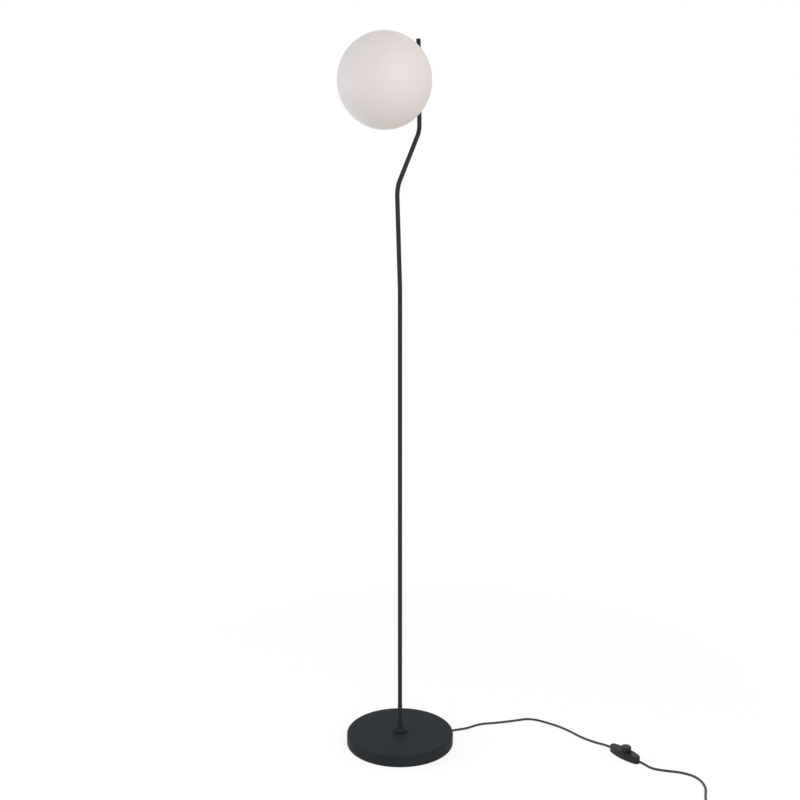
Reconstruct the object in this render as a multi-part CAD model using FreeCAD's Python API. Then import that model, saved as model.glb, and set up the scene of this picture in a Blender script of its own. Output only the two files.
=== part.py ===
"""Globe floor lamp: weighted round base, bent three-part pole, opal glass globe, foot switch on its cord.

Millimetres and degrees. The origin is the centre of the base's underside, on the floor, +Z is up.
The globe hangs in front of the pole, towards -Y, and the pole's two bends lie in the YZ plane.
"""
import FreeCAD, Part
import math
import os
from FreeCAD import Placement, Rotation, Vector

# ---------------------------------------------------------------- driving dimensions
# clearances
bore_gap = 0.1          # round a piece that sits in a bore
slip_gap = 0.3          # between pieces that move or are only laid together

# base
base_dia = 248.0
base_height = 27.0
base_edge = 5.0         # rounding of the cover's upper edge
cover_wall = 1.2
rim_lift = 1.5          # the cover's rim stays off the floor
pad_thick = 2.0
pad_setback = 3.0       # the pad is this much smaller than the weight, all round
weight_thick = 13.0
weight_boss_dia = 50.0
recess_dia = 76.0       # hollow under the weight, for the nut and the wiring
recess_depth = 9.0
weight_hole_gap = 0.4

# pole
pole_dia = 10.0
pole_wall = 1.5
pole_chamfer = 0.4
lower_tube_length = 543.0
middle_tube_length = 463.0
stud_dia = 8.0
stud_bore = 5.0
stud_length = 24.0
base_stud_drop = 0.2    # how far the base's stud stands out below its nut
lean_start = 24.0       # above the upper joint
lean_angle = 2.8        # the loaded upper tube leans towards the globe
lean_radius = 400.0
lower_bend_rise = 243.0     # above the upper joint
lower_bend_radius = 60.0
bend_rise = 126.7       # from the lower bend to the upper one
slant_angle = 32.9      # of the stretch between the bends, from the vertical
upper_bend_radius = 46.0
top_rise = 193.0        # from the upper bend to the tube's top end
top_lean_angle = 1.4

# foot collar
collar_dia = 32.5
collar_height = 22.0
collar_side = 4.0       # straight side at the foot of the bell
collar_neck_dia = 12.8

# fastenings of the base
nut_across_flats = 13.0
nut_thick = 4.0
washer_dia = 22.0
washer_thick = 1.0

# cord
cord_dia = 5.4
core_dia = 1.9
core_spread = 1.25      # each core's distance from the middle
exit_angle = 56.0       # direction in which the cord leaves the base, from +X
exit_height = 6.5
grommet_flange = 3.0
grommet_wall = 1.2
grommet_lip = 1.6
cord_slot_width = 9.0
cord_stop_length = 7.0
cord_stop_width = 14.0
terminal_length = 10.0
terminal_width = 16.0
terminal_height = 7.3
terminal_start = 10.0   # from the lamp's axis
sheath_start = 29.0     # where the cord's sheath ends inside the base
core_entry = 2.5        # how deep a core goes into its terminal

# head
head_rise = 91.3        # globe's axis above the upper bend
head_offset = 123.0     # globe's centre in front of the pole
globe_dia = 200.0
glass_wall = 2.8
neck_dia = 57.0
boss_dia = 20.0
boss_back = 8.0
boss_front = 12.0
grub_dia = 5.0
grub_socket = 2.5
nipple_dia = 10.0
nipple_bore = 6.4
nipple_length = 15.0
cup_dia = 64.0
cup_wall = 1.2
cup_depth = 13.5
cup_edge = 3.0
gasket_thick = 3.0
gasket_lap = 1.5        # how far it reaches inwards past the globe's neck
thread_collar_wall = 2.0
thread_collar_length = 8.0
head_nut_flats = 14.0
head_nut_thick = 3.0

# lampholder and bulb
holder_dia = 27.0
holder_wall = 1.6
holder_cap_length = 13.0
holder_skirt_length = 31.0
core_thick = 8.0        # insulating core of the lampholder
lamp_screw_dia = 13.8
screw_shell_length = 20.0
screw_shell_wall = 0.5
bulb_cap_length = 18.0
bulb_tip_length = 2.0
bulb_dia = 45.0
bulb_length = 78.0
bulb_neck_dia = 30.0
bulb_wall = 1.2

# foot switch
switch_x = 452.7
switch_y = 249.9
switch_angle = -16.3
switch_length = 82.0
switch_width = 28.0
switch_height = 16.5
switch_end_radius = 9.0
switch_wall = 1.8
switch_edge = 2.6
switch_foot_edge = 1.2
switch_seam = 0.3
button_offset = 3.4     # along the switch, from its middle
button_dia = 22.4
button_top = 27.5
button_wall = 1.6
button_edge = 1.6
button_travel = 4.0
button_flange = 1.2
button_flange_reach = 0.5   # how far it stands out past the cover's opening
stem_dia = 4.4
rotor_dia = 16.0
rotor_thick = 3.0
bridge_thick = 0.6
bridge_reach = 8.4      # the rotor's copper arms, from its axis
bridge_width = 4.0
rotor_pin_dia = 3.0
seat_thick = 1.6
seat_dia = 22.8
seat_leg_dia = 2.2
spring_dia = 8.0
spring_wire = 0.8
spring_turns = 7
clamp_length = 3.6
clamp_width = 9.0
clamp_place = 32.5      # inner face of each cord clamp, from the switch's middle
post_dia = 4.8
post_x = 27.0           # the cover's two screw posts stand diagonally
post_y = 6.2
screw_dia = 2.6
screw_head_dia = 4.6
screw_head_thick = 1.0
screw_recess = 1.2      # the heads are sunk in the underside

# coil, tie and plug
coil_x = 716.0          # where the cord starts to turn
coil_y = 96.0
coil_heading = -53.0
coil_radius = 34.5
coil_inner_radius = 21.7
coil_pitch = 5.95       # from turn to turn and from layer to layer
coil_steps_in = 3       # half turns that spiral in before the climb
tie_thick = 0.8
tie_width = 5.0
boot_length = 24.0
boot_dia = 10.4
boot_tip_dia = 7.2
boot_grooves = 5
plug_length = 36.0
plug_width = 35.3
plug_back_width = 15.0
plug_thick = 13.7
pin_dia = 4.0
pin_length = 19.0
pin_sleeve_length = 10.0
pin_sleeve_dia = 3.8
pin_spacing = 18.6
plug_along = 82.0       # the plug's axis and back, seen from the start of the coil
plug_across = 58.0

# the cord's route on the floor, chosen by hand: from the base to the switch, and on to the coil
route_to_switch = [
    (71.0, 105.3, 6.5), (82.4, 122.2, 6.5), (91.0, 145.5, 2.9), (104.0, 186.0, 2.7), (131.0, 212.0, 2.7),
    (161.0, 250.0, 2.7), (186.0, 285.0, 2.7), (233.0, 290.0, 2.7), (282.0, 287.0, 2.7),
    (335.0, 270.0, 2.7), (373.0, 267.5, 2.7), (401.5, 264.9, 6.5), (421.5, 259.0, 6.5)]
route_from_switch = [
    (483.9, 240.8, 6.5), (503.1, 235.2, 6.5), (524.0, 232.0, 2.7), (551.0, 239.5, 2.7),
    (586.0, 256.5, 2.7), (622.0, 256.0, 2.7), (651.0, 228.0, 2.7), (664.0, 188.0, 2.7),
    (684.0, 143.0, 2.7), (700.4, 116.8, 3.6), (712.8, 100.3, 3.6)]
# the tail, from the coil's end, as distances along and across the coil's heading
route_tail = [
    (5.4, -2.975, 9.55), (24.0, -2.975, 9.55), (49.0, -1.0, 2.8), (72.0, 11.0, 2.7), (82.0, 34.0, 6.85),
    (82.0, 58.0, 6.85)]

# ---------------------------------------------------------------- derived places
X = Vector(1, 0, 0)
Y = Vector(0, 1, 0)
Z = Vector(0, 0, 1)
ORIGIN = Vector(0, 0, 0)

base_radius = base_dia / 2
pole_radius = pole_dia / 2
pole_bore_radius = pole_radius - pole_wall
weight_radius = base_radius - cover_wall - slip_gap
weight_top = pad_thick + weight_thick
cover_roof = base_height - cover_wall
recess_roof = pad_thick + recess_depth
nut_top = recess_roof - washer_thick
nut_foot = nut_top - nut_thick
base_stud_foot = nut_foot - base_stud_drop
lower_joint = base_height + lower_tube_length
upper_joint = lower_joint + middle_tube_length
core_radius = core_dia / 2
cord_radius = cord_dia / 2


def rise(angle, height):
    """Sideways travel of a line that leans by angle over a height."""
    return math.tan(math.radians(angle)) * height


lean_foot = Vector(0, 0, upper_joint + lean_start)
lower_bend = Vector(0, -rise(lean_angle, lower_bend_rise - lean_start), upper_joint + lower_bend_rise)
upper_bend = lower_bend + Vector(0, rise(slant_angle, bend_rise), bend_rise)
tube_top = upper_bend + Vector(0, -rise(top_lean_angle, top_rise), top_rise)
head_point = upper_bend + Vector(0, -rise(top_lean_angle, head_rise), head_rise)
top_direction = (tube_top - upper_bend).normalize()
exit_direction = Vector(math.cos(math.radians(exit_angle)), math.sin(math.radians(exit_angle)), 0)

# along the head's axis, measured forward from the pole's centre line
cup_inside = boss_front + cup_wall
neck_end = cup_inside + gasket_thick + bore_gap
cup_rim = boss_front + cup_depth
holder_foot = cup_inside + head_nut_thick
skirt_foot = holder_foot + holder_cap_length
skirt_end = skirt_foot + holder_skirt_length
nipple_start = pole_radius + 1.2
nipple_end = nipple_start + nipple_length
core_back = skirt_foot - core_thick / 2
core_front = core_back + core_thick
bulb_tip_end = core_front + 2 * screw_shell_wall + slip_gap
bulb_cap_foot = bulb_tip_end + bulb_tip_length
bulb_cap_end = bulb_cap_foot + bulb_cap_length
bulb_centre = bulb_tip_end + bulb_length - bulb_dia / 2
bulb_open = bulb_centre - math.sqrt((bulb_dia / 2) ** 2 - (bulb_neck_dia / 2) ** 2)

# up the switch
rotor_foot = switch_wall + slip_gap
rotor_top = rotor_foot + rotor_thick
bridge_top = rotor_top + bridge_thick
finger_foot = bridge_top + slip_gap
finger_top = finger_foot + bridge_thick
seat_foot = finger_top + slip_gap
seat_top = seat_foot + seat_thick
rotor_pin_top = bridge_top + slip_gap
stem_foot = rotor_pin_top + slip_gap + button_travel
flange_top = switch_height - switch_wall - slip_gap
button_ceiling = button_top - button_wall
spring_foot = seat_top + bore_gap
spring_head = button_ceiling - bore_gap

coil_floor = cord_radius + tie_thick + bore_gap
coil_top = coil_floor + coil_pitch


# ---------------------------------------------------------------- small helpers
def disc(radius, bottom, top, x=0.0, y=0.0):
    return Part.makeCylinder(radius, top - bottom, Vector(x, y, bottom))


def ring(outer, inner, bottom, top, x=0.0, y=0.0):
    return disc(outer, bottom, top, x, y).cut(disc(inner, bottom - 1, top + 1, x, y))


def block(x0, x1, y0, y1, z0, z1):
    return Part.makeBox(x1 - x0, y1 - y0, z1 - z0, Vector(x0, y0, z0))


def prism(sides, across_flats, bottom, top):
    """Upright prism, such as a nut's body or a key's socket."""
    reach = across_flats / 2 / math.cos(math.pi / sides)
    first = Vector(reach, 0, bottom)
    corners = [Rotation(Z, 360 * side / sides).multVec(first) for side in range(sides + 1)]
    return Part.Face(Part.makePolygon(corners)).extrude(Vector(0, 0, top - bottom))


def turned(points):
    """Solid of revolution about Z. A point is (r, z), or (rm, zm, r, z) for an arc through (rm, zm)."""
    here = Vector(points[0][-2], 0, points[0][-1])
    start = here
    edges = []
    for point in points[1:]:
        there = Vector(point[-2], 0, point[-1])
        if len(point) == 4:
            edges.append(Part.Arc(here, Vector(point[0], 0, point[1]), there).toShape())
        else:
            edges.append(Part.LineSegment(here, there).toShape())
        here = there
    edges.append(Part.LineSegment(here, start).toShape())
    return Part.Face(Part.Wire(edges)).revolve(ORIGIN, Z, 360)


def level_edges(shape, height):
    """Edges that lie at one height."""
    return [edge for edge in shape.Edges
            if abs(edge.BoundBox.ZMin - height) < 1e-4 and abs(edge.BoundBox.ZMax - height) < 1e-4]


def rounded(shape, height, radius):
    return shape.makeFillet(radius, level_edges(shape, height))


def rounded_path(points, radii):
    """Straight runs joined by tangent arcs, as one wire."""
    edges = []
    here = points[0]
    for before, corner, after, radius in zip(points, points[1:], points[2:], radii):
        back = (before - corner).normalize()
        ahead = (after - corner).normalize()
        half = (math.pi - back.getAngle(ahead)) / 2
        reach = radius * math.tan(half)
        middle = (back + ahead).normalize() * (radius / math.cos(half) - radius)
        start = corner + back * reach
        edges.append(Part.LineSegment(here, start).toShape())
        edges.append(Part.Arc(start, corner + middle, corner + ahead * reach).toShape())
        here = corner + ahead * reach
    edges.append(Part.LineSegment(here, points[-1]).toShape())
    return Part.Wire(edges)


def pipe(path, radius):
    """Round bar along a wire of lines and arcs."""
    first = path.Edges[0]
    start = first.valueAt(first.FirstParameter)
    heading = first.tangentAt(first.FirstParameter)
    section = Part.Wire(Part.makeCircle(radius, start, heading))
    return path.makePipeShell([section], True, False)


def cord_route(name, points):
    """Tube of a laid cord. Each arc is as large as its two runs allow, and its radii are printed."""
    points = [Vector(*point) for point in points]
    radii = []
    for before, corner, after in zip(points, points[1:], points[2:]):
        half = (math.pi - (before - corner).getAngle(after - corner)) / 2
        shorter = min(before.distanceToPoint(corner), after.distanceToPoint(corner))
        radii.append(0.45 * shorter / math.tan(half))
    path = rounded_path(points, radii)
    tube = pipe(path, cord_radius)
    expected = math.pi * cord_radius ** 2 * path.Length
    print(name, "length %.1f" % path.Length, "radii", [round(radius) for radius in radii],
          "volume / (section x length) %.5f" % (tube.Volume / expected))
    return tube


def biarc(start, start_heading, end, end_heading):
    """Two arcs that meet smoothly, between two points with given headings."""
    chord = end - start
    both = start_heading + end_heading
    a = 4 - both.dot(both)
    b = 2 * chord.dot(both)
    reach = (-b + math.sqrt(b * b + 4 * a * chord.dot(chord))) / (2 * a)
    first = start + start_heading * reach
    second = end - end_heading * reach
    middle = (first + second) * 0.5

    def arc(p, corner, q):
        half = (math.pi - (p - corner).getAngle(q - corner)) / 2
        radius = p.distanceToPoint(corner) / math.tan(half)
        inward = ((p - corner).normalize() + (q - corner).normalize()).normalize()
        return Part.Arc(p, corner + inward * (radius / math.cos(half) - radius), q).toShape()
    return [arc(start, first, middle), arc(middle, second, end)]


def wound_path(stations):
    """Smooth wire through stations, each a point and its heading, half a turn apart."""
    edges = []
    for (here, heading), (there, next_heading) in zip(stations, stations[1:]):
        edges += biarc(here, heading, there, next_heading)
    return edges


def least_gap(path, wire_dia, apart):
    """Least clear space between stretches of a wound wire that lie further than apart along it."""
    count = int(path.Length / (wire_dia / 4))
    points = path.discretize(count)
    skip = int(apart / path.Length * count)
    least = min(points[i].distanceToPoint(points[j])
                for i in range(count) for j in range(i + skip, count))
    return least - wire_dia


def moved(shape, placement):
    """Copy of a shape, carried along by a placement."""
    copy = shape.copy()
    copy.Placement = placement.multiply(copy.Placement)
    return copy


def save(name, shape):
    if len(shape.Solids) == 1:
        shape = shape.Solids[0]
    shape.exportStep("parts/" + name + ".step")


os.makedirs("parts", exist_ok=True)


# ---------------------------------------------------------------- base
def exit_axis(shape):
    """Turn a shape built along +X into the direction in which the cord leaves."""
    return shape.rotated(ORIGIN, Z, exit_angle)


def lying(radius, start, end, height, y=0.0):
    """Round bar along +X."""
    return Part.makeCylinder(radius, end - start, Vector(start, y, height), X)


def make_base_pad():
    return disc(weight_radius - pad_setback, 0, pad_thick)


def make_base_weight():
    body = disc(weight_radius, pad_thick, weight_top)
    body = rounded(body, weight_top, 2.0)
    body = body.fuse(disc(weight_boss_dia / 2, weight_top - 1, cover_roof))
    body = body.cut(disc(recess_dia / 2, pad_thick - 1, recess_roof))
    body = body.cut(disc(stud_dia / 2 + weight_hole_gap, 0, base_height))
    slot = block(0, base_radius, -cord_slot_width / 2, cord_slot_width / 2,
                 pad_thick - 1, exit_height + cord_slot_width / 2)
    return body.cut(exit_axis(slot))


def make_base_cover():
    outside = rounded(disc(base_radius, rim_lift, base_height), base_height, base_edge)
    inside = disc(base_radius - cover_wall, rim_lift - 5, cover_roof)
    inside = rounded(inside, cover_roof, base_edge - cover_wall)
    body = outside.cut(inside).cut(disc(stud_dia / 2 + weight_hole_gap, 0, base_height + 1))
    hole = cord_radius + slip_gap + grommet_wall + bore_gap
    return body.cut(exit_axis(lying(hole, base_radius - 10, base_radius + 10, exit_height)))


def make_base_stud():
    return ring(stud_dia / 2 - bore_gap / 2, stud_bore / 2, base_stud_foot, base_height + stud_length / 2)


def make_base_washer():
    return ring(washer_dia / 2, stud_dia / 2 + bore_gap, nut_top, recess_roof)


def make_base_nut():
    return prism(6, nut_across_flats, nut_foot, nut_top).cut(disc(stud_dia / 2, 0, base_height))


def make_foot_collar():
    foot = base_height
    neck = collar_neck_dia / 2
    side = collar_dia / 2
    bore = pole_radius + bore_gap
    shoulder = side - 2.0
    waist = foot + collar_height * 0.68
    return turned([(bore, foot), (side, foot), (side, foot + collar_side),
                   (side - 0.6, foot + collar_side + 1.6, shoulder, foot + collar_side + 3.0),
                   (neck + 2.6, foot + collar_height * 0.55, neck + 0.9, waist),
                   (neck + 0.2, foot + collar_height * 0.8, neck, foot + collar_height - 0.6),
                   (neck - 0.6, foot + collar_height), (bore, foot + collar_height)])


def make_cord_grommet():
    hole = cord_radius + slip_gap
    neck = lying(hole + grommet_wall, base_radius - 3 * cover_wall, base_radius, exit_height)
    flange = lying(hole + grommet_wall + grommet_lip, base_radius, base_radius + grommet_flange, exit_height)
    flange = flange.makeFillet(1.0, [edge for edge in flange.Edges
                                     if edge.BoundBox.XMin > base_radius + grommet_flange - 1e-3])
    bore = lying(hole, base_radius - 10, base_radius + 10, exit_height)
    return exit_axis(neck.fuse(flange).removeSplitter().cut(bore))


def make_cord_stop():
    far = recess_dia / 2 - slip_gap - 0.7
    body = block(far - cord_stop_length, far, -cord_stop_width / 2, cord_stop_width / 2,
                 pad_thick + slip_gap, recess_roof - slip_gap)
    return exit_axis(body.cut(lying(cord_radius + bore_gap, 0, base_radius, exit_height)))


def make_base_lead():
    return exit_axis(lying(cord_radius, sheath_start, base_radius + grommet_flange, exit_height))


terminal_foot = pad_thick + bore_gap
wire_level = pad_thick + bore_gap + core_radius + bore_gap


def make_terminal_block():
    body = block(terminal_start, terminal_start + terminal_length, -terminal_width / 2, terminal_width / 2,
                 terminal_foot, terminal_foot + terminal_height)
    hole_end = terminal_start + terminal_length - core_entry - slip_gap
    for side in (-1, 1):
        hole = lying(core_radius + bore_gap, hole_end, recess_dia, exit_height, 2 * side * core_spread)
        body = body.cut(hole)
    return exit_axis(body).cut(pole_wire_solid(-1, bore_gap)).cut(pole_wire_solid(1, bore_gap))


def make_lead_cores():
    end = terminal_start + terminal_length - core_entry
    cores = []
    for side in (-1, 1):
        inner = Vector(end, 2 * side * core_spread, exit_height)
        knee = Vector(end + core_entry + 3, 2 * side * core_spread, exit_height)
        sheath = Vector(sheath_start - 2, side * core_spread, exit_height)
        outer = Vector(sheath_start, side * core_spread, exit_height)
        path = rounded_path([inner, knee, sheath, outer], [2.5, 2.5])
        cores.append(exit_axis(pipe(path, core_radius)))
    return Part.makeCompound(cores)


# ---------------------------------------------------------------- pole
def pole_tube(bottom, top):
    """Straight tube whose ends are bored out for a joint's stud."""
    depth = stud_length / 2 + 0.5
    socket = stud_dia / 2
    edge = pole_radius - pole_chamfer
    return turned([(socket, bottom), (edge, bottom), (pole_radius, bottom + pole_chamfer),
                   (pole_radius, top - pole_chamfer), (edge, top), (socket, top), (socket, top - depth),
                   (pole_bore_radius, top - depth), (pole_bore_radius, bottom + depth),
                   (socket, bottom + depth)])


def pole_path(x):
    """Centre line of the upper tube, moved sideways for a wire that lies beside it."""
    points = [Vector(0, 0, upper_joint), lean_foot, lower_bend, upper_bend, tube_top]
    return [point + Vector(x, 0, 0) for point in points], [lean_radius, lower_bend_radius, upper_bend_radius]


def make_tube_upper():
    path = rounded_path(*pole_path(0))
    body = pipe(path, pole_radius).cut(pipe(path, pole_bore_radius))
    body = body.cut(disc(stud_dia / 2, upper_joint - 1, upper_joint + stud_length / 2 + 0.5))
    body = body.makeChamfer(pole_chamfer, [edge for edge in level_edges(body, upper_joint)
                                           if edge.BoundBox.XMax > pole_radius - 0.01])
    mouth = Part.makeCylinder(nipple_bore / 2 - 0.4, pole_radius + 1, head_point, -Y)
    return body.cut(mouth)


def make_joint_stud(joint):
    return ring(stud_dia / 2 - bore_gap / 2, stud_bore / 2, joint - stud_length / 2, joint + stud_length / 2)


def make_tube_end_cap():
    spigot = disc(pole_bore_radius - bore_gap, -6.0, 0.5)
    head = rounded(disc(pole_radius, 0, 1.6), 1.6, 0.5)
    cap = head.fuse(spigot).removeSplitter()
    return moved(cap, Placement(tube_top, Rotation(Z, top_direction)))


def pole_wire_solid(side, extra=0.0):
    """One core from the base's terminal, up the pole and out to the lampholder."""
    x = side * core_spread
    points, radii = pole_path(x)
    foot = Vector(x, 0, wire_level)
    start = foot + exit_direction * (terminal_start + core_entry - side * core_spread * exit_direction.x)
    front = head_point - Y * (core_back - bore_gap)
    points = [start, foot, points[1], points[2], points[3], head_point + X * x, front + X * x]
    turn = base_stud_foot - wire_level
    return pipe(rounded_path(points, [turn, *radii, pole_radius]), core_radius + extra)


# ---------------------------------------------------------------- head
def at_head(shape):
    """Put a shape built about Z, with the pole at zero, on the globe's axis."""
    return moved(shape, Placement(head_point, Rotation(X, 90)))


def make_head_boss():
    body = disc(boss_dia / 2, -boss_back, boss_front)
    body = rounded(body, -boss_back, 1.5)
    body = body.cut(disc(nipple_dia / 2, 0, boss_front + 1)).cut(disc(grub_dia / 2, -boss_back - 1, 0))
    body = at_head(body)
    low = head_point - top_direction * boss_dia
    return body.cut(Part.makeCylinder(pole_radius + bore_gap, 2 * boss_dia, low, top_direction))


def make_grub_screw():
    tip = -pole_radius - bore_gap / 2
    body = disc(grub_dia / 2 - bore_gap, -boss_back + 0.4, tip)
    return at_head(body.cut(prism(6, grub_socket, -boss_back, -boss_back + 1.8)))


def make_head_nipple():
    return at_head(ring(nipple_dia / 2 - bore_gap, nipple_bore / 2, nipple_start, nipple_end))


def make_shade_cup():
    outside = rounded(disc(cup_dia / 2, boss_front, cup_rim), boss_front, cup_edge)
    inside = rounded(disc(cup_dia / 2 - cup_wall, cup_inside, cup_rim + 5), cup_inside, cup_edge - cup_wall)
    return at_head(outside.cut(inside).cut(disc(nipple_dia / 2, 0, cup_rim)))


def make_cup_nut():
    nut = prism(6, head_nut_flats, cup_inside, holder_foot)
    return at_head(nut.cut(disc(nipple_dia / 2, 0, cup_rim)))


def make_holder_cap():
    body = rounded(disc(holder_dia / 2, holder_foot, skirt_foot), holder_foot, 3.5)
    hollow = disc(holder_dia / 2 - holder_wall, holder_foot + 2.6, skirt_foot + 1)
    return at_head(body.cut(hollow).cut(disc(nipple_dia / 2, 0, skirt_foot)))


def make_holder_skirt():
    outer = holder_dia / 2
    inner = outer - holder_wall
    return at_head(turned([(inner, skirt_foot), (outer, skirt_foot), (outer, skirt_end - 2),
                           (outer - 0.3, skirt_end - 0.6, outer - 1, skirt_end), (inner, skirt_end)]))


def make_holder_core():
    body = disc(holder_dia / 2 - holder_wall - bore_gap, core_back, core_front)
    for side in (-1, 1):
        body = body.cut(disc(2.0, core_back - 1, core_front + 1, 0, side * 8.0))
    return at_head(body)


def make_screw_shell():
    outer = lamp_screw_dia / 2 + slip_gap + screw_shell_wall
    shell = ring(outer, outer - screw_shell_wall, core_front, core_front + screw_shell_length)
    return at_head(shell)


def make_centre_contact():
    return at_head(block(-2.0, 2.0, -5.0, 3.0, core_front, core_front + screw_shell_wall)
                   .fuse(disc(1.8, core_front, bulb_tip_end)).removeSplitter())


def make_bulb_tip():
    return at_head(turned([(0, bulb_tip_end), (2.3, bulb_tip_end), (2.6, bulb_tip_end + 0.5),
                           (5.6, bulb_cap_foot), (0, bulb_cap_foot)]))


def make_bulb_cap():
    radius = lamp_screw_dia / 2
    return at_head(turned([(0, bulb_cap_foot), (5.6, bulb_cap_foot), (radius, bulb_cap_foot + 2.0),
                           (radius, bulb_cap_end), (0, bulb_cap_end)]))


def make_bulb_housing():
    foot = lamp_screw_dia / 2 + 0.5
    top = bulb_neck_dia / 2
    middle = (bulb_cap_end + bulb_open) / 2
    return at_head(turned([(0, bulb_cap_end), (foot, bulb_cap_end), (foot + 0.3, bulb_cap_end + 3),
                           ((foot + top) / 2 - 0.6, middle + 1, top, bulb_open), (0, bulb_open)]))


def make_bulb_envelope():
    outer = bulb_dia / 2
    inner = outer - bulb_wall
    mouth = bulb_neck_dia / 2
    inner_mouth = math.sqrt(inner ** 2 - (bulb_centre - bulb_open) ** 2)
    return at_head(turned([(mouth, bulb_open), (outer, bulb_centre, 0, bulb_centre + outer),
                           (0, bulb_centre + inner), (inner, bulb_centre, inner_mouth, bulb_open)]))


def make_globe_gasket():
    outer = neck_dia / 2
    inner = outer - glass_wall - gasket_lap
    return at_head(ring(outer, inner, cup_inside, cup_inside + gasket_thick))


def make_globe_collar():
    inner = neck_dia / 2 + bore_gap
    outer = inner + thread_collar_wall
    foot = neck_end + 0.6
    top = foot + thread_collar_length
    return at_head(turned([(inner, foot), (outer - 0.5, foot), (outer, foot + 0.5), (outer, top - 0.5),
                           (outer - 0.5, top), (inner, top)]))


def make_glass_globe():
    outer = globe_dia / 2
    inner = outer - glass_wall
    neck = neck_dia / 2
    mouth = neck - glass_wall
    # outside, neck and ball run into each other over an arc that touches both
    blend = 3.0
    drop = math.sqrt((outer + blend) ** 2 - (neck + blend) ** 2)
    swing = (math.pi + math.atan2(drop, -(neck + blend))) / 2
    bend = (neck + blend + blend * math.cos(swing), head_offset - drop + blend * math.sin(swing))
    touch = ((neck + blend) * outer / (outer + blend), head_offset - drop * outer / (outer + blend))
    inner_foot = head_offset - math.sqrt(inner ** 2 - mouth ** 2)
    return at_head(turned([(mouth, neck_end), (neck, neck_end), (neck, head_offset - drop),
                           (*bend, *touch),
                           (outer, head_offset, 0, head_offset + outer), (0, head_offset + inner),
                           (inner, head_offset, mouth, inner_foot)]))


# ---------------------------------------------------------------- foot switch
def at_switch(shape):
    """Local +X runs along the switch, towards the plug."""
    return moved(shape, Placement(Vector(switch_x, switch_y, 0), Rotation(Z, switch_angle)))


def oval(half_length, half_width, end_radius, bottom, top):
    """Upright solid whose outline is four arcs that run smoothly into each other."""
    centre = half_length - end_radius
    side_radius = (centre ** 2 + half_width ** 2 - end_radius ** 2) / (2 * (half_width - end_radius))
    swing = math.atan2(centre, side_radius - half_width)
    meet_x = centre + end_radius * math.sin(swing)
    meet_y = end_radius * math.cos(swing)
    right_top = Vector(meet_x, meet_y, bottom)
    left_top = Vector(-meet_x, meet_y, bottom)
    left_foot = Vector(-meet_x, -meet_y, bottom)
    right_foot = Vector(meet_x, -meet_y, bottom)
    edges = [Part.Arc(right_foot, Vector(half_length, 0, bottom), right_top),
             Part.Arc(right_top, Vector(0, half_width, bottom), left_top),
             Part.Arc(left_top, Vector(-half_length, 0, bottom), left_foot),
             Part.Arc(left_foot, Vector(0, -half_width, bottom), right_foot)]
    return Part.Face(Part.Wire([edge.toShape() for edge in edges])).extrude(Vector(0, 0, top - bottom))


def shell_oval(inset, bottom, top):
    return oval(switch_length / 2 - inset, switch_width / 2 - inset, switch_end_radius - inset, bottom, top)


switch_cord_holes = [lying(cord_radius + slip_gap, clamp_place, switch_length, exit_height),
                     lying(cord_radius + slip_gap, -switch_length, -clamp_place, exit_height)]
clamp_top = exit_height + cord_radius + 1.0


def make_switch_base():
    body = rounded(shell_oval(0, 0, exit_height), 0, switch_foot_edge)
    body = body.makeChamfer(switch_seam, level_edges(body, exit_height))
    body = body.cut(shell_oval(switch_wall, switch_wall, exit_height + 1))
    body = body.fuse(disc(rotor_pin_dia / 2, switch_wall - 0.5, rotor_pin_top, button_offset, 0))
    for hole in switch_cord_holes:
        body = body.cut(hole)
    for side in (-1, 1):
        body = body.cut(disc(screw_dia / 2 + bore_gap, -1, exit_height, side * post_x, side * post_y))
        body = body.cut(disc(screw_head_dia / 2 + bore_gap, -1, screw_recess, side * post_x, side * post_y))
    return at_switch(body)


def make_switch_cover():
    body = rounded(shell_oval(0, exit_height, switch_height), switch_height, switch_edge)
    body = body.makeChamfer(switch_seam, level_edges(body, exit_height))
    body = body.cut(shell_oval(switch_wall, exit_height - 1, switch_height - switch_wall))
    roof = switch_height - switch_wall
    for side in (-1, 1):
        post = disc(post_dia / 2, switch_wall + slip_gap, roof + 0.5, side * post_x, side * post_y)
        body = body.fuse(post.common(shell_oval(switch_wall + bore_gap, 0, switch_height)))
        body = body.cut(disc(screw_dia / 2, 0, roof - switch_wall, side * post_x, side * post_y))
    for hole in switch_cord_holes:
        body = body.cut(hole)
    opening = disc(button_dia / 2 + slip_gap, exit_height, switch_height + 1, button_offset, 0)
    return at_switch(body.cut(opening))


def make_switch_button():
    outer = button_dia / 2
    inner = outer - button_wall
    flange = outer + slip_gap + button_flange_reach
    stem = stem_dia / 2
    foot = flange_top - button_flange
    body = turned([(0, stem_foot), (stem, stem_foot), (stem, button_ceiling), (inner, button_ceiling),
                   (inner, foot), (flange, foot), (flange, flange_top), (outer, flange_top),
                   (outer, button_top - button_edge),
                   (outer - 0.3 * button_edge, button_top - 0.3 * button_edge,
                    outer - button_edge, button_top), (0, button_top)])
    return at_switch(body.translated(Vector(button_offset, 0, 0)))


def make_switch_spring():
    radius = (spring_dia - spring_wire) / 2
    foot = spring_foot + spring_wire / 2
    climb = (spring_head - spring_wire / 2 - foot) / (2 * spring_turns)
    slope = math.atan2(climb, math.pi * radius)
    stations = []
    for step in range(2 * spring_turns + 1):
        side = 1 if step % 2 == 0 else -1
        level = 0 if step in (0, 2 * spring_turns) else slope
        heading = Vector(0, side * math.cos(level), math.sin(level))
        stations.append((Vector(side * radius, 0, foot + climb * step), heading))
    path = Part.Wire(wound_path(stations))
    print("switch_spring least gap %.2f" % least_gap(path, spring_wire, math.pi * radius))
    return at_switch(pipe(path, spring_wire / 2).translated(Vector(button_offset, 0, 0)))


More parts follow.
